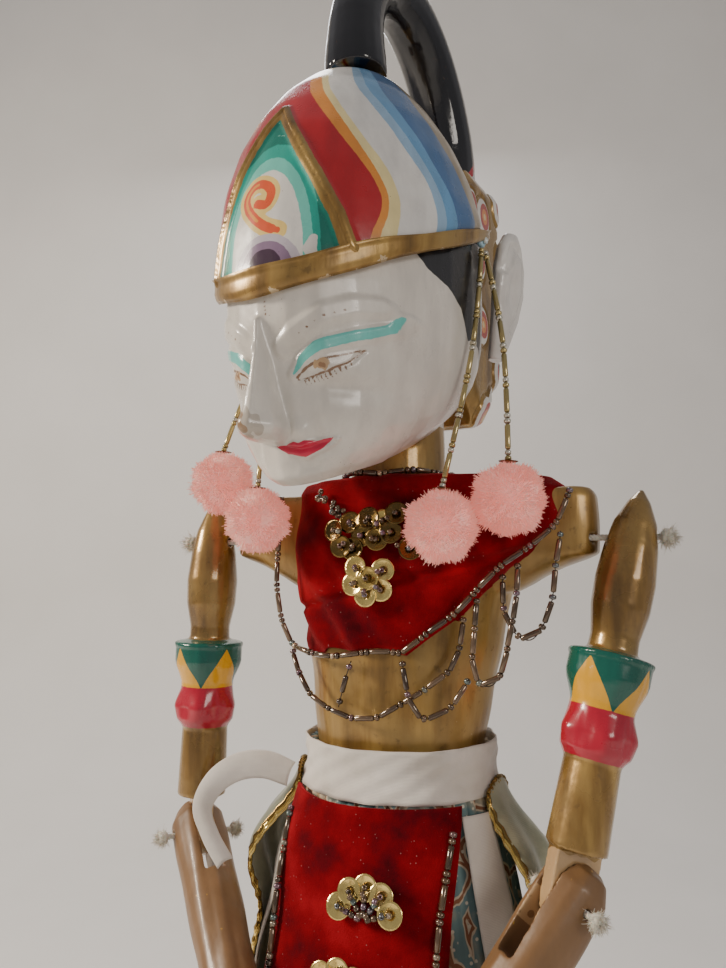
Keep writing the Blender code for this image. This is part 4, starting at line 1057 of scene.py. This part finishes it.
BIB_EDGE = [
    (-0.0425, -0.0225, 0.4290), (-0.0430, -0.0235, 0.4100), (-0.0430, -0.0250, 0.3950),
    (-0.0410, -0.0240, 0.3800), (-0.0375, -0.0215, 0.3705), (-0.0262, -0.0280, 0.3680),
    (-0.0165, -0.0312, 0.3675), (-0.0060, -0.0324, 0.3690), (0.0050, -0.0325, 0.3705),
    (0.0114, -0.0322, 0.3700), (0.0205, -0.0312, 0.3770), (0.0313, -0.0292, 0.3850),
    (0.0400, -0.0288, 0.3945), (0.0480, -0.0288, 0.4020), (0.0570, -0.0278, 0.4080),
    (0.0660, -0.0262, 0.4160), (0.0710, -0.0245, 0.4280),
]
BEAD_LOOPS = {
    "bead_loop_front_long": [
        (-0.0382, -0.0195, 0.3682), (-0.0365, -0.0208, 0.3630), (-0.0315, -0.0250, 0.3580),
        (-0.0260, -0.0278, 0.3520), (-0.0173, -0.0300, 0.3480), (-0.0069, -0.0312, 0.3455),
        (0.0017, -0.0314, 0.3466),
        (0.0097, -0.0308, 0.3512), (0.0174, -0.0295, 0.3559), (0.0240, -0.0278, 0.3610),
        (0.0290, -0.0262, 0.3655), (0.0316, -0.0262, 0.3740), (0.0330, -0.0272, 0.3828),
    ],
    "bead_loop_front_short": [
        (0.0115, -0.0320, 0.3672), (0.0120, -0.0320, 0.3630), (0.0132, -0.0328, 0.3580),
        (0.0150, -0.0338, 0.3520), (0.0180, -0.0328, 0.3480),
        (0.0225, -0.0305, 0.3478), (0.0281, -0.0285, 0.3513),
        (0.0325, -0.0257, 0.3580), (0.0342, -0.0260, 0.3612),
    ],
    "bead_loop_side_inner": [
        (0.0379, -0.0272, 0.3895), (0.0367, -0.0288, 0.3732), (0.0360, -0.0284, 0.3648),
        (0.0388, -0.0275, 0.3597), (0.0434, -0.0275, 0.3600), (0.0477, -0.0285, 0.3676),
        (0.0492, -0.0294, 0.3770), (0.0515, -0.0296, 0.3850), (0.0524, -0.0290, 0.3935),
        (0.0525, -0.0268, 0.4018),
    ],
    "bead_loop_side_outer": [
        (0.0470, -0.0262, 0.3982), (0.0470, -0.0255, 0.3863), (0.0491, -0.0255, 0.3796),
        (0.0543, -0.0255, 0.3753), (0.0588, -0.0255, 0.3777), (0.0635, -0.0255, 0.3881),
        (0.0655, -0.0255, 0.4030), (0.0667, -0.0248, 0.4090), (0.0672, -0.0246, 0.4130),
    ],
}


def bead_piece(name, node, route, bugle, radius, **pattern):
    return assembled(name, strung(route, bugle, radius, **pattern), SHADES["dark_beads"], "torso",
                     "dark_beads", node)


def build_beads():
    bead_piece("bib_bead_edging_look", "bib_bead_edging", smooth_route(BIB_EDGE, 140), 0.0080,
               0.00122, seeds=2)
    ring = [(0.0226 * math.cos(a), 0.0226 * math.sin(a), 0.4372 + 0.0006 * math.sin(5 * a))
            for a in (2 * math.pi * k / 90 for k in range(91))]
    bead_piece("neck_beads_look", "neck_beads", ring, 0.0062, 0.00135, seeds=2)
    link = smooth_route([(-0.0087, -0.0307, 0.3660), (-0.0110, -0.0310, 0.3590),
                         (-0.0140, -0.0300, 0.3490)], 16)
    bead_piece("bead_link_front_look", "bead_link_front", link, 0.0064, 0.00125, seeds=1)
    for name, points in BEAD_LOOPS.items():
        route = smooth_route(points, 60)
        obj = bead_piece(name + "_look", name, route, 0.0078, 0.00122, seeds=1)


def sequin_group(name, node, centre, outward, layout):
    """Sequins laid like petals, each held by beads; layout is (across, up, lift, tone)."""
    outward = unit(outward)
    side = unit(np.cross((0, 0, 1.0), outward))
    up = np.cross(outward, side)
    centre = np.array(centre, float)
    discs = []
    stones = []
    for across, high, lift, tone in layout:
        middle = centre + side * across + up * high + outward * lift
        tilt = side * across * 14 + up * high * 14 + RNG.normal(size=3) * 0.06
        discs.append((*sequin(middle, outward, 0.0043, tilt),
                      min(1.0, max(0.0, tone + RNG.uniform(-0.1, 0.1)))))
        for k in range(2):
            at = middle + outward * (0.0012 + 0.0013 * k) - (side * across + up * high) * 0.22 * k
            lying = outward + RNG.normal(size=3) * 0.7
            stones.append((*bead(at, lying, 0.0010, 0.0019, 8), float(RNG.uniform(0.1, 1.0))))
    assembled(name, discs, SHADES["sequins"], "torso", "gold_sequins", node)
    assembled(name + "_stones", stones, SHADES["dark_beads"], "torso", "dark_beads")


def build_chest_sequins():
    petals = [(0.0062 * math.sin(a), 0.0062 * math.cos(a), 0.0010 + 0.0004 * k, 0.85)
              for k, a in enumerate(math.radians(d) for d in (60, 130, 190, 250, 310))]
    petals.append((0.0, 0.0, 0.0030, 0.7))
    sequin_group("chest_sequins_lower_look", "chest_sequins_lower", (-0.0008, -0.0318, 0.3962),
                 (0, -1, 0.05), petals)
    dark = []
    for x, z, tone in ((-0.0090, -0.0030, 0.15), (-0.0120, 0.0030, 0.1), (-0.0060, 0.0060, 0.2),
                       (-0.0010, 0.0010, 0.3), (0.0050, -0.0005, 0.3), (0.0070, 0.0065, 0.8),
                       (0.0105, 0.0020, 0.25), (0.0015, 0.0075, 0.15), (0.0125, 0.0090, 0.1),
                       (-0.0045, -0.0040, 0.25), (0.0180, -0.0040, 0.2)):
        dark.append((x, z, 0.0010 + 0.0012 * RNG.uniform(), tone))
    sequin_group("chest_sequins_upper_look", "chest_sequins_upper", (-0.0030, -0.0306, 0.4110),
                 (0, -1, 0.1), dark)
    for i, (x, z) in enumerate(((-0.0205, 0.4262), (-0.0150, 0.4215))):
        parts = []
        for k in range(9):
            at = np.array((x, -0.0290, z)) + RNG.normal(size=3) * (0.0019, 0.0007, 0.0019)
            lying = RNG.normal(size=3)
            parts.append((*bead(at, lying, 0.0011, 0.0020, 8), float(RNG.uniform(0.1, 1))))
        assembled(f"chest_bead_knot_{i}", parts, SHADES["dark_beads"], "torso", "dark_beads")


# ---------------------------------------------------------------- waist cloths

SKIRT_RINGS = (
    # z, half width, half depth
    (0.1000, 0.0660, 0.0560), (0.150, 0.0630, 0.0530), (0.200, 0.0600, 0.0500),
    (0.250, 0.0550, 0.0455), (0.285, 0.0480, 0.0395), (0.310, 0.0400, 0.0315),
    (0.326, 0.0369, 0.0286), (0.333, 0.0367, 0.0285),
)
APRON_TOP = 0.3160
APRON_LOW = 0.1450
APRON_SHIFT = -0.11


def skirt_size(z):
    """The skirt's half width and half depth at a height."""
    heights = [row[0] for row in SKIRT_RINGS]
    return tuple(float(np.interp(z, heights, [row[k] for row in SKIRT_RINGS])) for k in (1, 2))


def on_skirt(angle, z, lift):
    """A point on the skirt and its outward direction; angle 0 is straight ahead."""
    half_x, half_y = skirt_size(z)
    depth = 1 + 0.022 * min(1.0, max(0.0, (0.31 - z) / 0.12))
    out = np.array((math.sin(angle) * half_y, -math.cos(angle) * half_x, 0.0))
    out = out / np.linalg.norm(out)
    point = np.array((math.sin(angle) * half_x * depth, -math.cos(angle) * half_y * depth, z))
    return point + out * lift, out


def build_skirt():
    """Pleated cotton that hangs from the waist over a bell and is left to fall into folds."""
    around = 240
    down = 80
    verts = []
    for j in range(down):
        z = 0.3325 - (0.3325 - 0.1010) * j / (down - 1)
        half_x, half_y = skirt_size(z)
        loose = min(1.0, max(0.0, (0.326 - z) / 0.06))
        for k in range(around):
            a = 2 * math.pi * k / around
            pleat = 0.0011 * (1 - loose) * math.sin(44 * a)
            pleat += loose * (0.0016 * math.sin(15 * a + 0.5) + 0.0010 * math.sin(26 * a + z * 20))
            verts.append(((half_x - 0.0018 + pleat) * math.cos(a),
                          (half_y - 0.0018 + pleat) * math.sin(a), z))
    obj = mesh_object("skirt_look", verts, grid_faces(around, down, True), SHADES["batik"])
    rows = []
    for z in np.linspace(0.3300, 0.0900, 26):
        half_x, half_y = skirt_size(max(z, 0.1))
        rows.append([((half_x - 0.0070) * math.cos(2 * math.pi * k / 64),
                      (half_y - 0.0070) * math.sin(2 * math.pi * k / 64), z) for k in range(64)])
    bell = mesh_object("bell", [p for row in rows for p in row], grid_faces(64, 26, True),
                       SHADES["batik"])
    bell.data.flip_normals()
    bell.modifiers.new("hit", "COLLISION")
    bell.collision.thickness_outer = 0.0015
    pins = obj.vertex_groups.new(name="pins")
    pins.add(list(range(around * 4)), 1.0, "REPLACE")
    cloth = obj.modifiers.new("cloth", "CLOTH")
    cotton = {"vertex_group_mass": "pins", "quality": 6, "mass": 0.12, "tension_stiffness": 18,
              "compression_stiffness": 8, "shear_stiffness": 4, "bending_stiffness": 0.03,
              "air_damping": 2.0}
    for key, value in cotton.items():
        setattr(cloth.settings, key, value)
    cloth.collision_settings.distance_min = 0.0012
    cloth.point_cache.frame_start = 1
    cloth.point_cache.frame_end = 34
    for step in range(1, 35):
        bpy.context.scene.frame_set(step)
    settle(obj)
    bpy.context.scene.frame_set(1)
    bpy.data.objects.remove(bell)
    points = places(obj)
    sizes = np.array([skirt_size(z) for z in points[:, 2]])
    depth = 1 + 0.010 * np.clip((0.31 - points[:, 2]) / 0.12, 0, 1)
    share = np.hypot(points[:, 0] / sizes[:, 0], points[:, 1] / sizes[:, 1]) / depth
    angle = np.abs(np.arctan2(points[:, 0], -points[:, 1]))
    limit = np.where(angle < 2.3, 0.985, 1.02)
    shrink = np.minimum(1.0, limit / np.maximum(share, 1e-6))
    points[:, :2] *= shrink[:, None]
    points[:, 2] = np.maximum(points[:, 2], 0.0985)
    move_to(obj, points)
    thicken(obj, 0.0009, -1)
    obj.data.shade_smooth()
    fit(obj, "torso", "batik", "skirt")


def cloth_strip(name, node, slot, place, wide, tall, thickness, shade):
    verts = []
    for j in range(tall):
        for i in range(wide):
            verts.append(place(i / (wide - 1), j / (tall - 1)))
    faces = grid_faces(wide, tall)
    obj = mesh_object(name, verts, faces, shade)
    thicken(obj, thickness)
    fit(obj, "torso", slot, *node)
    return obj


def build_ribbons():
    around = 180
    rows = 14
    verts = []
    for j in range(rows):
        z = 0.3352 - 0.0182 * j / (rows - 1)
        spread = 0.0014 * max(0.0, (0.3245 - z) / 0.007)
        for k in range(around + 12):
            a = 2 * math.pi * (k / around) + 1.9
            lap = 0.0007 if k > around - 6 else 0.0
            crease = 0.00045 * math.sin(7 * a + z * 420) + 0.0003 * math.sin(17 * a - z * 900)
            tilt = 0.0012 * math.sin(a + 0.7)
            verts.append(((0.0379 + spread + lap + crease) * math.cos(a),
                          (0.0297 + spread + lap + crease) * math.sin(a), z + tilt))
    faces = grid_faces(around + 12, rows)
    obj = mesh_object("waist_ribbon_look", verts, faces, SHADES["ribbon"])
    thicken(obj, 0.0006)
    fit(obj, "torso", "white_ribbon", "waist_ribbon")

    route = smooth_route([(-0.0400, -0.0160, 0.3190), (-0.0500, -0.0190, 0.3225),
                          (-0.0600, -0.0225, 0.3215), (-0.0680, -0.0265, 0.3160),
                          (-0.0715, -0.0300, 0.3070), (-0.0665, -0.0318, 0.2975),
                          (-0.0600, -0.0312, 0.2880)], 60)

    def loop(u, v):
        i = min(58, int(v * 59))
        point = route[i] + (route[i + 1] - route[i]) * (v * 59 - i)
        along = route[i + 1] - route[i]
        side = unit(np.cross(along, (0.35, -0.90, 0.25)))
        width = 0.0105 * (0.62 + 0.38 * math.sin(math.pi * min(1.0, 0.25 + v)))
        curl = 0.0010 * math.sin(math.pi * u)
        return point + side * (u - 0.5) * width + np.array((0, -curl, curl))

    cloth_strip("ribbon_loop_look", ["ribbon_loop"], "white_ribbon", loop, 12, 60, 0.0005,
                SHADES["ribbon"])

    def tail(side, angle, wide, top, low, lean):
        def place(u, v):
            z = top + (low - top) * v + 0.004 * (u - 0.5) * (v > 0.97)
            at = side * (angle + lean * v + (u - 0.5) * wide)
            lift = 0.0019 + 0.0006 * math.sin(v * 17 + side) + 0.0010 * (u - 0.5) * math.sin(v * 9)
            return on_skirt(at, z, lift)[0]
        return place

    tails = ((1, "left", 0.99, 0.34, 0.180), (-1, "right", 1.10, 0.21, 0.205))
    for side, word, angle, wide, low in tails:
        cloth_strip(f"ribbon_tail_{word}_look", [f"ribbon_tail_{word}"], "white_ribbon",
                    tail(side, angle, wide, 0.3130, low, 0.05), 14, 90, 0.0005, SHADES["ribbon"])


def apron_angle(z):
    return math.asin(min(0.95, 0.0335 / (skirt_size(z)[0] + 0.003)))


def build_apron():
    def place(u, v):
        z = APRON_TOP + (APRON_LOW - APRON_TOP) * v
        sag = -0.0022 * math.sin(math.pi * u) * (1 - v) ** 3
        sag += 0.0014 * math.sin(2.2 * u + 0.4) * (1 - v) ** 4
        wave = 0.0009 * math.sin(v * 21 + 3 * u) * math.sin(u * 5 + 1)
        wave += 0.0007 * math.sin(v * 9 + 7 * u) - 0.0010 * max(0.0, 1 - v * 12)
        edge = 0.0005 * math.sin(v * 60) * (abs(u - 0.5) > 0.48)
        return on_skirt(APRON_SHIFT + apron_angle(z) * (2 * u - 1) + edge, z + sag, 0.0036 + wave)[0]

    cloth_strip("apron_panel_look", ["apron_panel"], "red_velvet", place, 90, 150, 0.0016,
                SHADES["velvet"])
    for side, name in ((1, "apron_beads_left"), (-1, "apron_beads_right")):
        route = []
        for k in range(120):
            z = APRON_TOP - 0.006 + (APRON_LOW + 0.012 - APRON_TOP) * k / 119
            route.append(on_skirt(APRON_SHIFT + side * (apron_angle(z) - 0.09), z, 0.0062)[0])
        bead_piece(name + "_look", name, route, 0.0078, 0.00132, seeds=2, start_seeds=2)
    fans = (("apron_sequins_upper", 0.2855, 0.0020), ("apron_sequins_lower", 0.2600, -0.0060))
    for name, z, across in fans:
        layout = []
        for k in range(5):
            a = math.radians(-72 + 36 * k)
            layout.append((0.0098 * math.sin(a), 0.0098 * math.cos(a) - 0.002,
                           0.0008 + 0.0003 * k, 0.9))
        rise = unit(on_skirt(0, z + 0.01, 0.0)[0] - on_skirt(0, z - 0.01, 0.0)[0])
        outward = np.array((0.0, -rise[2], rise[1]))
        centre = on_skirt(0, z, 0.0050)[0] + (across, 0, 0)
        sequin_group(name + "_look", name, centre, outward, layout)
        parts = []
        for k in range(5):
            a = math.radians(-72 + 36 * k)
            for step in (0.002, 0.0042, 0.0064):
                at = centre + outward * 0.0022 + rise * (step * math.cos(a) - 0.002)
                at = at + np.array((step * math.sin(a), 0, 0))
                lying = rise * math.cos(a) + np.array((math.sin(a), 0, 0)) + RNG.normal(size=3) * 0.2
                parts.append((*bead(at, lying, 0.0011, 0.0021, 8), float(RNG.uniform(0.1, 1))))
        assembled(name + "_fan", parts, SHADES["dark_beads"], "torso", "dark_beads")


def build_sashes():
    for side, word in ((1, "left"), (-1, "right")):
        def place(u, v, side=side):
            angle = side * (1.16 + 0.86 * u)
            z = 0.3190 - 0.126 * v + 0.004 * math.sin(5 * u)
            flare = 0.0100 * math.sin(math.pi * min(1.0, v * 2.4)) ** 2 if v < 0.42 else 0.0
            fold = 0.0013 * math.sin(u * 16 + 3 * v) * min(1.0, v * 5)
            return on_skirt(angle, z, 0.0030 + flare + fold)[0]

        cloth_strip(f"hip_sash_{word}_look", [f"hip_sash_{word}"], "sage_satin", place, 70, 100,
                    0.0011, SHADES["sash"])
        rim = [place(u, 0.0) for u in np.linspace(0, 1, 40)]
        rim += [place(1.0, v) for v in np.linspace(0.02, 1, 60)]
        front = [place(0.0, v) for v in np.linspace(0.0, 1, 60)]
        parts = []
        for line in (rim, front):
            for step in range(3):
                shift = np.array((0, 0, -0.0014 * step))
                rope = [p + shift + 0.0004 * np.array((math.sin(9 * i), math.cos(9 * i), 0))
                        for i, p in enumerate(line)]
                parts.append((*tube(rope, [0.0008] * len(rope), 6), 0.3 + 0.3 * step))
        assembled(f"sash_trim_{word}", parts, SHADES["lurex"], "torso", "sage_satin")


# ---------------------------------------------------------------- arms

SHOULDER_REACH = 0.0861
CORD_Y = -0.0098
CORD_Z = 0.4110
UPPER_ARM = 0.1210
FOREARM = 0.1080
ARMS = {
    "left": (1, (-0.200, -0.195, -0.960), (-0.50, -0.45, -0.74), (0.66, -0.75, 0.0)),
    "right": (-1, (-0.022, -0.018, -0.999), (0.62, -0.58, -0.53), (0.68, 0.73, 0.0)),
}


def tuft(name, body, middle, out, size, count):
    """A knot of cotton cord whose ends have come apart into fibres."""
    middle = np.array(middle, float)
    out = unit(out)
    aside = unit(np.cross(out, (0.3, 0.2, 1.0)))
    up = np.cross(out, aside)
    knot = []
    for k in range(46):
        a = 2 * math.pi * k / 15
        reach = size * (0.55 + 0.10 * math.sin(1.7 * a))
        knot.append(middle + out * size * (0.25 * math.sin(a * 1.31) + 0.1)
                    + reach * (math.cos(a) * aside + math.sin(a) * up) * 0.75)
    count = int(count * 2.2)
    spray = directions(count)
    spray = spray + out * 0.7 - np.array((0, 0, 0.45))
    spray /= np.linalg.norm(spray, axis=1, keepdims=True)
    roots = middle + directions(count) * size * 0.5
    tips = roots + spray * size * RNG.uniform(0.35, 1.15, (count, 1))
    parts = [(*tube(smooth_route(knot, 150), [size * 0.36] * 150, 7), 0.5),
             fibres(roots, tips, 0.00014, 0.35)]
    assembled(name, parts, SHADES["twine"], body, "cotton_twine")


def twisted(name, body, start, end, radius, *nodes):
    """Cotton cord of three strands."""
    start = np.array(start, float)
    end = np.array(end, float)
    along = unit(end - start)
    aside = unit(np.cross(along, (0.2, 0.1, 1.0)))
    up = np.cross(along, aside)
    steps = max(12, int(np.linalg.norm(end - start) / 0.0006))
    parts = []
    for strand in range(3):
        route = []
        for k in range(steps + 1):
            a = 2 * math.pi * (strand / 3) + k * 0.85
            route.append(start + (end - start) * k / steps
                         + radius * 0.5 * (math.cos(a) * aside + math.sin(a) * up))
        parts.append((*tube(route, [radius * 0.56] * len(route), 6), 0.4 + 0.2 * strand))
    assembled(name, parts, SHADES["twine"], body, "cotton_twine", *nodes)


def build_upper_arm(word, shoulder, down, hinge):
    obj = skin("upper_arm_" + word, 0.0006, 7)
    points = places(obj)
    drop = (points - shoulder) @ down
    outward = points - shoulder - drop[:, None] * down
    aside = square_to(np.array((1.0, 0, 0)), down)
    ahead = np.cross(down, aside)
    view = square_to(np.array((0.33, -0.94, 0.0)), down)
    start = math.atan2(view @ ahead, view @ aside)
    angle = np.arctan2(outward @ ahead, outward @ aside) - start
    saw = np.abs((angle / (2 * math.pi) * 4 + 0.5) % 1.0 - 0.5) * 2
    lift = 0.0007 * np.clip(1 - np.abs(drop - 0.0430) / 0.0016, 0, 1)
    lift += 0.0010 * (1 - saw) * np.clip(1 - np.abs(drop - 0.0500) / 0.0070, 0, 1)
    lift += 0.0009 * np.cos(angle * 5) * np.clip(1 - np.abs(drop - 0.0690) / 0.0070, 0, 1)
    move_to(obj, points + normals(obj) * lift[:, None])
    armlet = both(drop - 0.0412, 0.0610 - drop)
    green = both(0.0165 * (1.12 - saw) - (drop - 0.0425), drop - 0.0412, 0.0607 - drop)
    layers = [(armlet, (0.80, 0.40, 0.012)), (green, (0.0, 0.105, 0.075)),
              (both(drop - 0.0605, 0.0768 - drop), (0.46, 0.006, 0.030))]
    tongue = both(drop - (UPPER_ARM - 0.0140), 0.0042 - np.abs((points - shoulder) @ hinge))
    layers.append((tongue + 0.0008 * mottled(points, 700), (0.55, 0.36, 0.18)))
    paint(obj, BRONZE, layers, bronze_base=True, rough=0.20, grime=0.28, chip=0.70, coat=0.6)
    fit(obj, "upper_arm_" + word, "bronze_paint", "upper_arm_" + word)


def build_forearm(word, elbow, fore, hinge):
    obj = skin("forearm_" + word, 0.0006, 5)
    points = places(obj)
    along = (points - elbow) @ fore
    across = (points - elbow) @ hinge
    grain = 0.00025 * np.sin(across * 900 + along * 60) + 0.0002 * np.sin(along * 210)
    move_to(obj, points + normals(obj) * grain[:, None])
    flake = both(mottled(points, 1500) - 1.75, mottled(points, 260) - 0.2) * 0.001
    bare = both(mottled(points, 800) * 0.001 + 0.0005, 0.0130 - np.abs(along),
                0.0040 - np.abs(across))
    layers = [(flake, (0.62, 0.34, 0.04)), (bare, (0.52, 0.34, 0.18))]
    paint(obj, (0.235, 0.125, 0.052), layers, rough=0.36, coat=0.15, grime=0.5, chip=0.70)
    fit(obj, "forearm_" + word, "brown_paint", "forearm_" + word)


def build_hand(word, wrist, hang, hinge):
    obj = skin("hand_" + word, 0.0005, 5, SHADES["bronze"])
    points = places(obj)
    drop = (points - wrist) @ hang
    across = (points - wrist) @ np.cross(hang, hinge)
    groove = np.zeros(len(points))
    for k in (-1, 0, 1):
        finger_gap = 0.0044 * k * np.clip((0.060 - drop) / 0.03, 0.3, 1)
        line = np.clip(1 - np.abs(across - finger_gap) / 0.0007, 0, 1)
        groove = np.maximum(groove, line * (drop > 0.026))
    lift = -0.0009 * groove + 0.0005 * np.clip(1 - np.abs(drop - 0.0130) / 0.0012, 0, 1)
    move_to(obj, points + normals(obj) * lift[:, None])
    fit(obj, "hand_" + word, "bronze_paint", "hand_" + word)


def build_arms():
    for word, (side, down, fore, hinge) in ARMS.items():
        down = unit(down)
        shoulder = np.array((LEAN + side * SHOULDER_REACH, CORD_Y, CORD_Z))
        elbow = shoulder + down * UPPER_ARM
        hinge = square_to(unit(hinge), down)
        fore = square_to(unit(fore), hinge)
        wrist = elbow + fore * FOREARM
        hang = square_to(np.array((0, 0, -1.0)), hinge)
        build_upper_arm(word, shoulder, down, hinge)
        build_forearm(word, elbow, fore, hinge)
        build_hand(word, wrist, hang, hinge)
        twisted("elbow_cord_" + word + "_look", "upper_arm_" + word, elbow - hinge * 0.0150,
                elbow + hinge * 0.0150, 0.0011, "elbow_cord_" + word)
        for end, name in ((-1, "inner"), (1, "outer")):
            tuft(f"elbow_knot_{word}_{name}", "upper_arm_" + word, elbow + hinge * end * 0.0148,
                 hinge * end, 0.0032, 260)
        twisted("wrist_cord_" + word + "_look", "forearm_" + word, wrist - hinge * 0.0110,
                wrist + hinge * 0.0110, 0.0010, "wrist_cord_" + word)
        for end, name in ((-1, "inner"), (1, "outer")):
            tuft(f"wrist_knot_{word}_{name}", "forearm_" + word, wrist + hinge * end * 0.0108,
                 hinge * end, 0.0022, 160)
        tuft("shoulder_knot_" + word, "torso", shoulder + (side * 0.0110, 0, 0), (side, 0, 0.2),
             0.0036, 320)
        tie = wrist + hang * 0.0250 + hinge * (side * 0.0088)
        rod = skin("control_rod_" + word, 0.0006, 2, SHADES["raw_wood"])
        fit(rod, "control_rod_" + word, "raw_wood", "control_rod_" + word)
        wraps = []
        for k in range(70):
            a = 2 * math.pi * k / 12
            wraps.append(tie + 0.0029 * (math.cos(a) * hinge + math.sin(a) * np.cross(hang, hinge))
                         - hang * 0.0035 + hang * 0.007 * k / 69)
        assembled("rod_wrap_" + word, [(*tube(wraps, [0.00042] * 70, 6), 0.4)], SHADES["twine"],
                  "control_rod_" + word, "cotton_twine")
    reach = SHOULDER_REACH + 0.0104
    twisted("shoulder_cord_look", "torso", (LEAN - reach, CORD_Y, CORD_Z),
            (LEAN + reach, CORD_Y, CORD_Z), 0.0012, "shoulder_cord")


# ---------------------------------------------------------------- stand

def build_stand():
    obj = skin("display_base", 0.0009, 5)
    points = places(obj)
    radius = np.hypot(points[:, 0], points[:, 1])
    rings = 0.0005 * np.clip(1 - np.abs(radius - 0.044) / 0.0012, 0, 1)
    rings += 0.0005 * np.clip(1 - np.abs(radius - 0.033) / 0.0010, 0, 1)
    above = points[:, 2] > 0.0135
    move_to(obj, points - normals(obj) * (rings * above)[:, None])
    obj.data.materials.append(wood_shade("stand_wood", (0.055, 0.022, 0.010), (0.17, 0.075, 0.030),
                                         0.28, 0.5))
    fit(obj, "stand", "stand_wood", "display_base")
    rod = skin("central_rod", 0.0008, 2, SHADES["raw_wood"])
    fit(rod, "head", "raw_wood", "central_rod")


# ---------------------------------------------------------------- everything

SHADES = {}


def make_shades():
    SHADES["bronze"] = bronze_shade("bronze")
    SHADES["raw_wood"] = wood_shade("raw_wood", (0.36, 0.22, 0.11), (0.66, 0.47, 0.28), 0.55)
    SHADES["velvet"] = velvet_shade("velvet")
    SHADES["ribbon"] = woven_shade("ribbon", (0.60, 0.55, 0.49), (0.78, 0.73, 0.67), 0.62)
    SHADES["sash"] = woven_shade("sash", (0.22, 0.235, 0.16), (0.48, 0.47, 0.33), 0.42, 0.6)
    SHADES["batik"] = batik_shade("batik")
    SHADES["dark_beads"] = bead_shade("dark_beads", (
        (0.0, (0.045, 0.028, 0.020)), (0.35, (0.13, 0.080, 0.045)), (0.6, (0.20, 0.125, 0.075)),
        (0.78, (0.20, 0.11, 0.16)), (0.90, (0.13, 0.18, 0.17)), (1.0, (0.55, 0.38, 0.25))), 0.55)
    SHADES["gold_beads"] = bead_shade("gold_beads", (
        (0.0, (0.36, 0.27, 0.10)), (0.6, (0.60, 0.45, 0.18)), (0.75, (0.55, 0.50, 0.42)),
        (1.0, (0.75, 0.70, 0.60))), 0.6)
    SHADES["blue_bead"] = bead_shade("blue_bead", ((0.0, (0.75, 0.72, 0.65)),
                                                   (1.0, (0.34, 0.56, 0.70))), 0.1)
    SHADES["sequins"] = foil_shade("sequins")
    SHADES["lurex"] = foil_shade("lurex")
    SHADES["pink_wool"] = fibre_shade("pink_wool", (
        (0.0, (0.88, 0.34, 0.31)), (0.45, (0.96, 0.56, 0.50)), (0.75, (0.98, 0.72, 0.65)),
        (1.0, (1.0, 0.87, 0.82))), glow=(0.92, 0.33, 0.27))
    SHADES["twine"] = fibre_shade("twine", ((0.0, (0.62, 0.55, 0.44)), (1.0, (0.84, 0.80, 0.72))))


place_camera()
make_shades()
for build in (build_earrings, build_beads, build_stage, build_stand, build_torso, build_bib,
              build_chest_sequins, build_face, build_crown, build_curl, build_ornament, build_ears,
              build_skirt, build_ribbons, build_apron, build_sashes, build_arms):
    build()
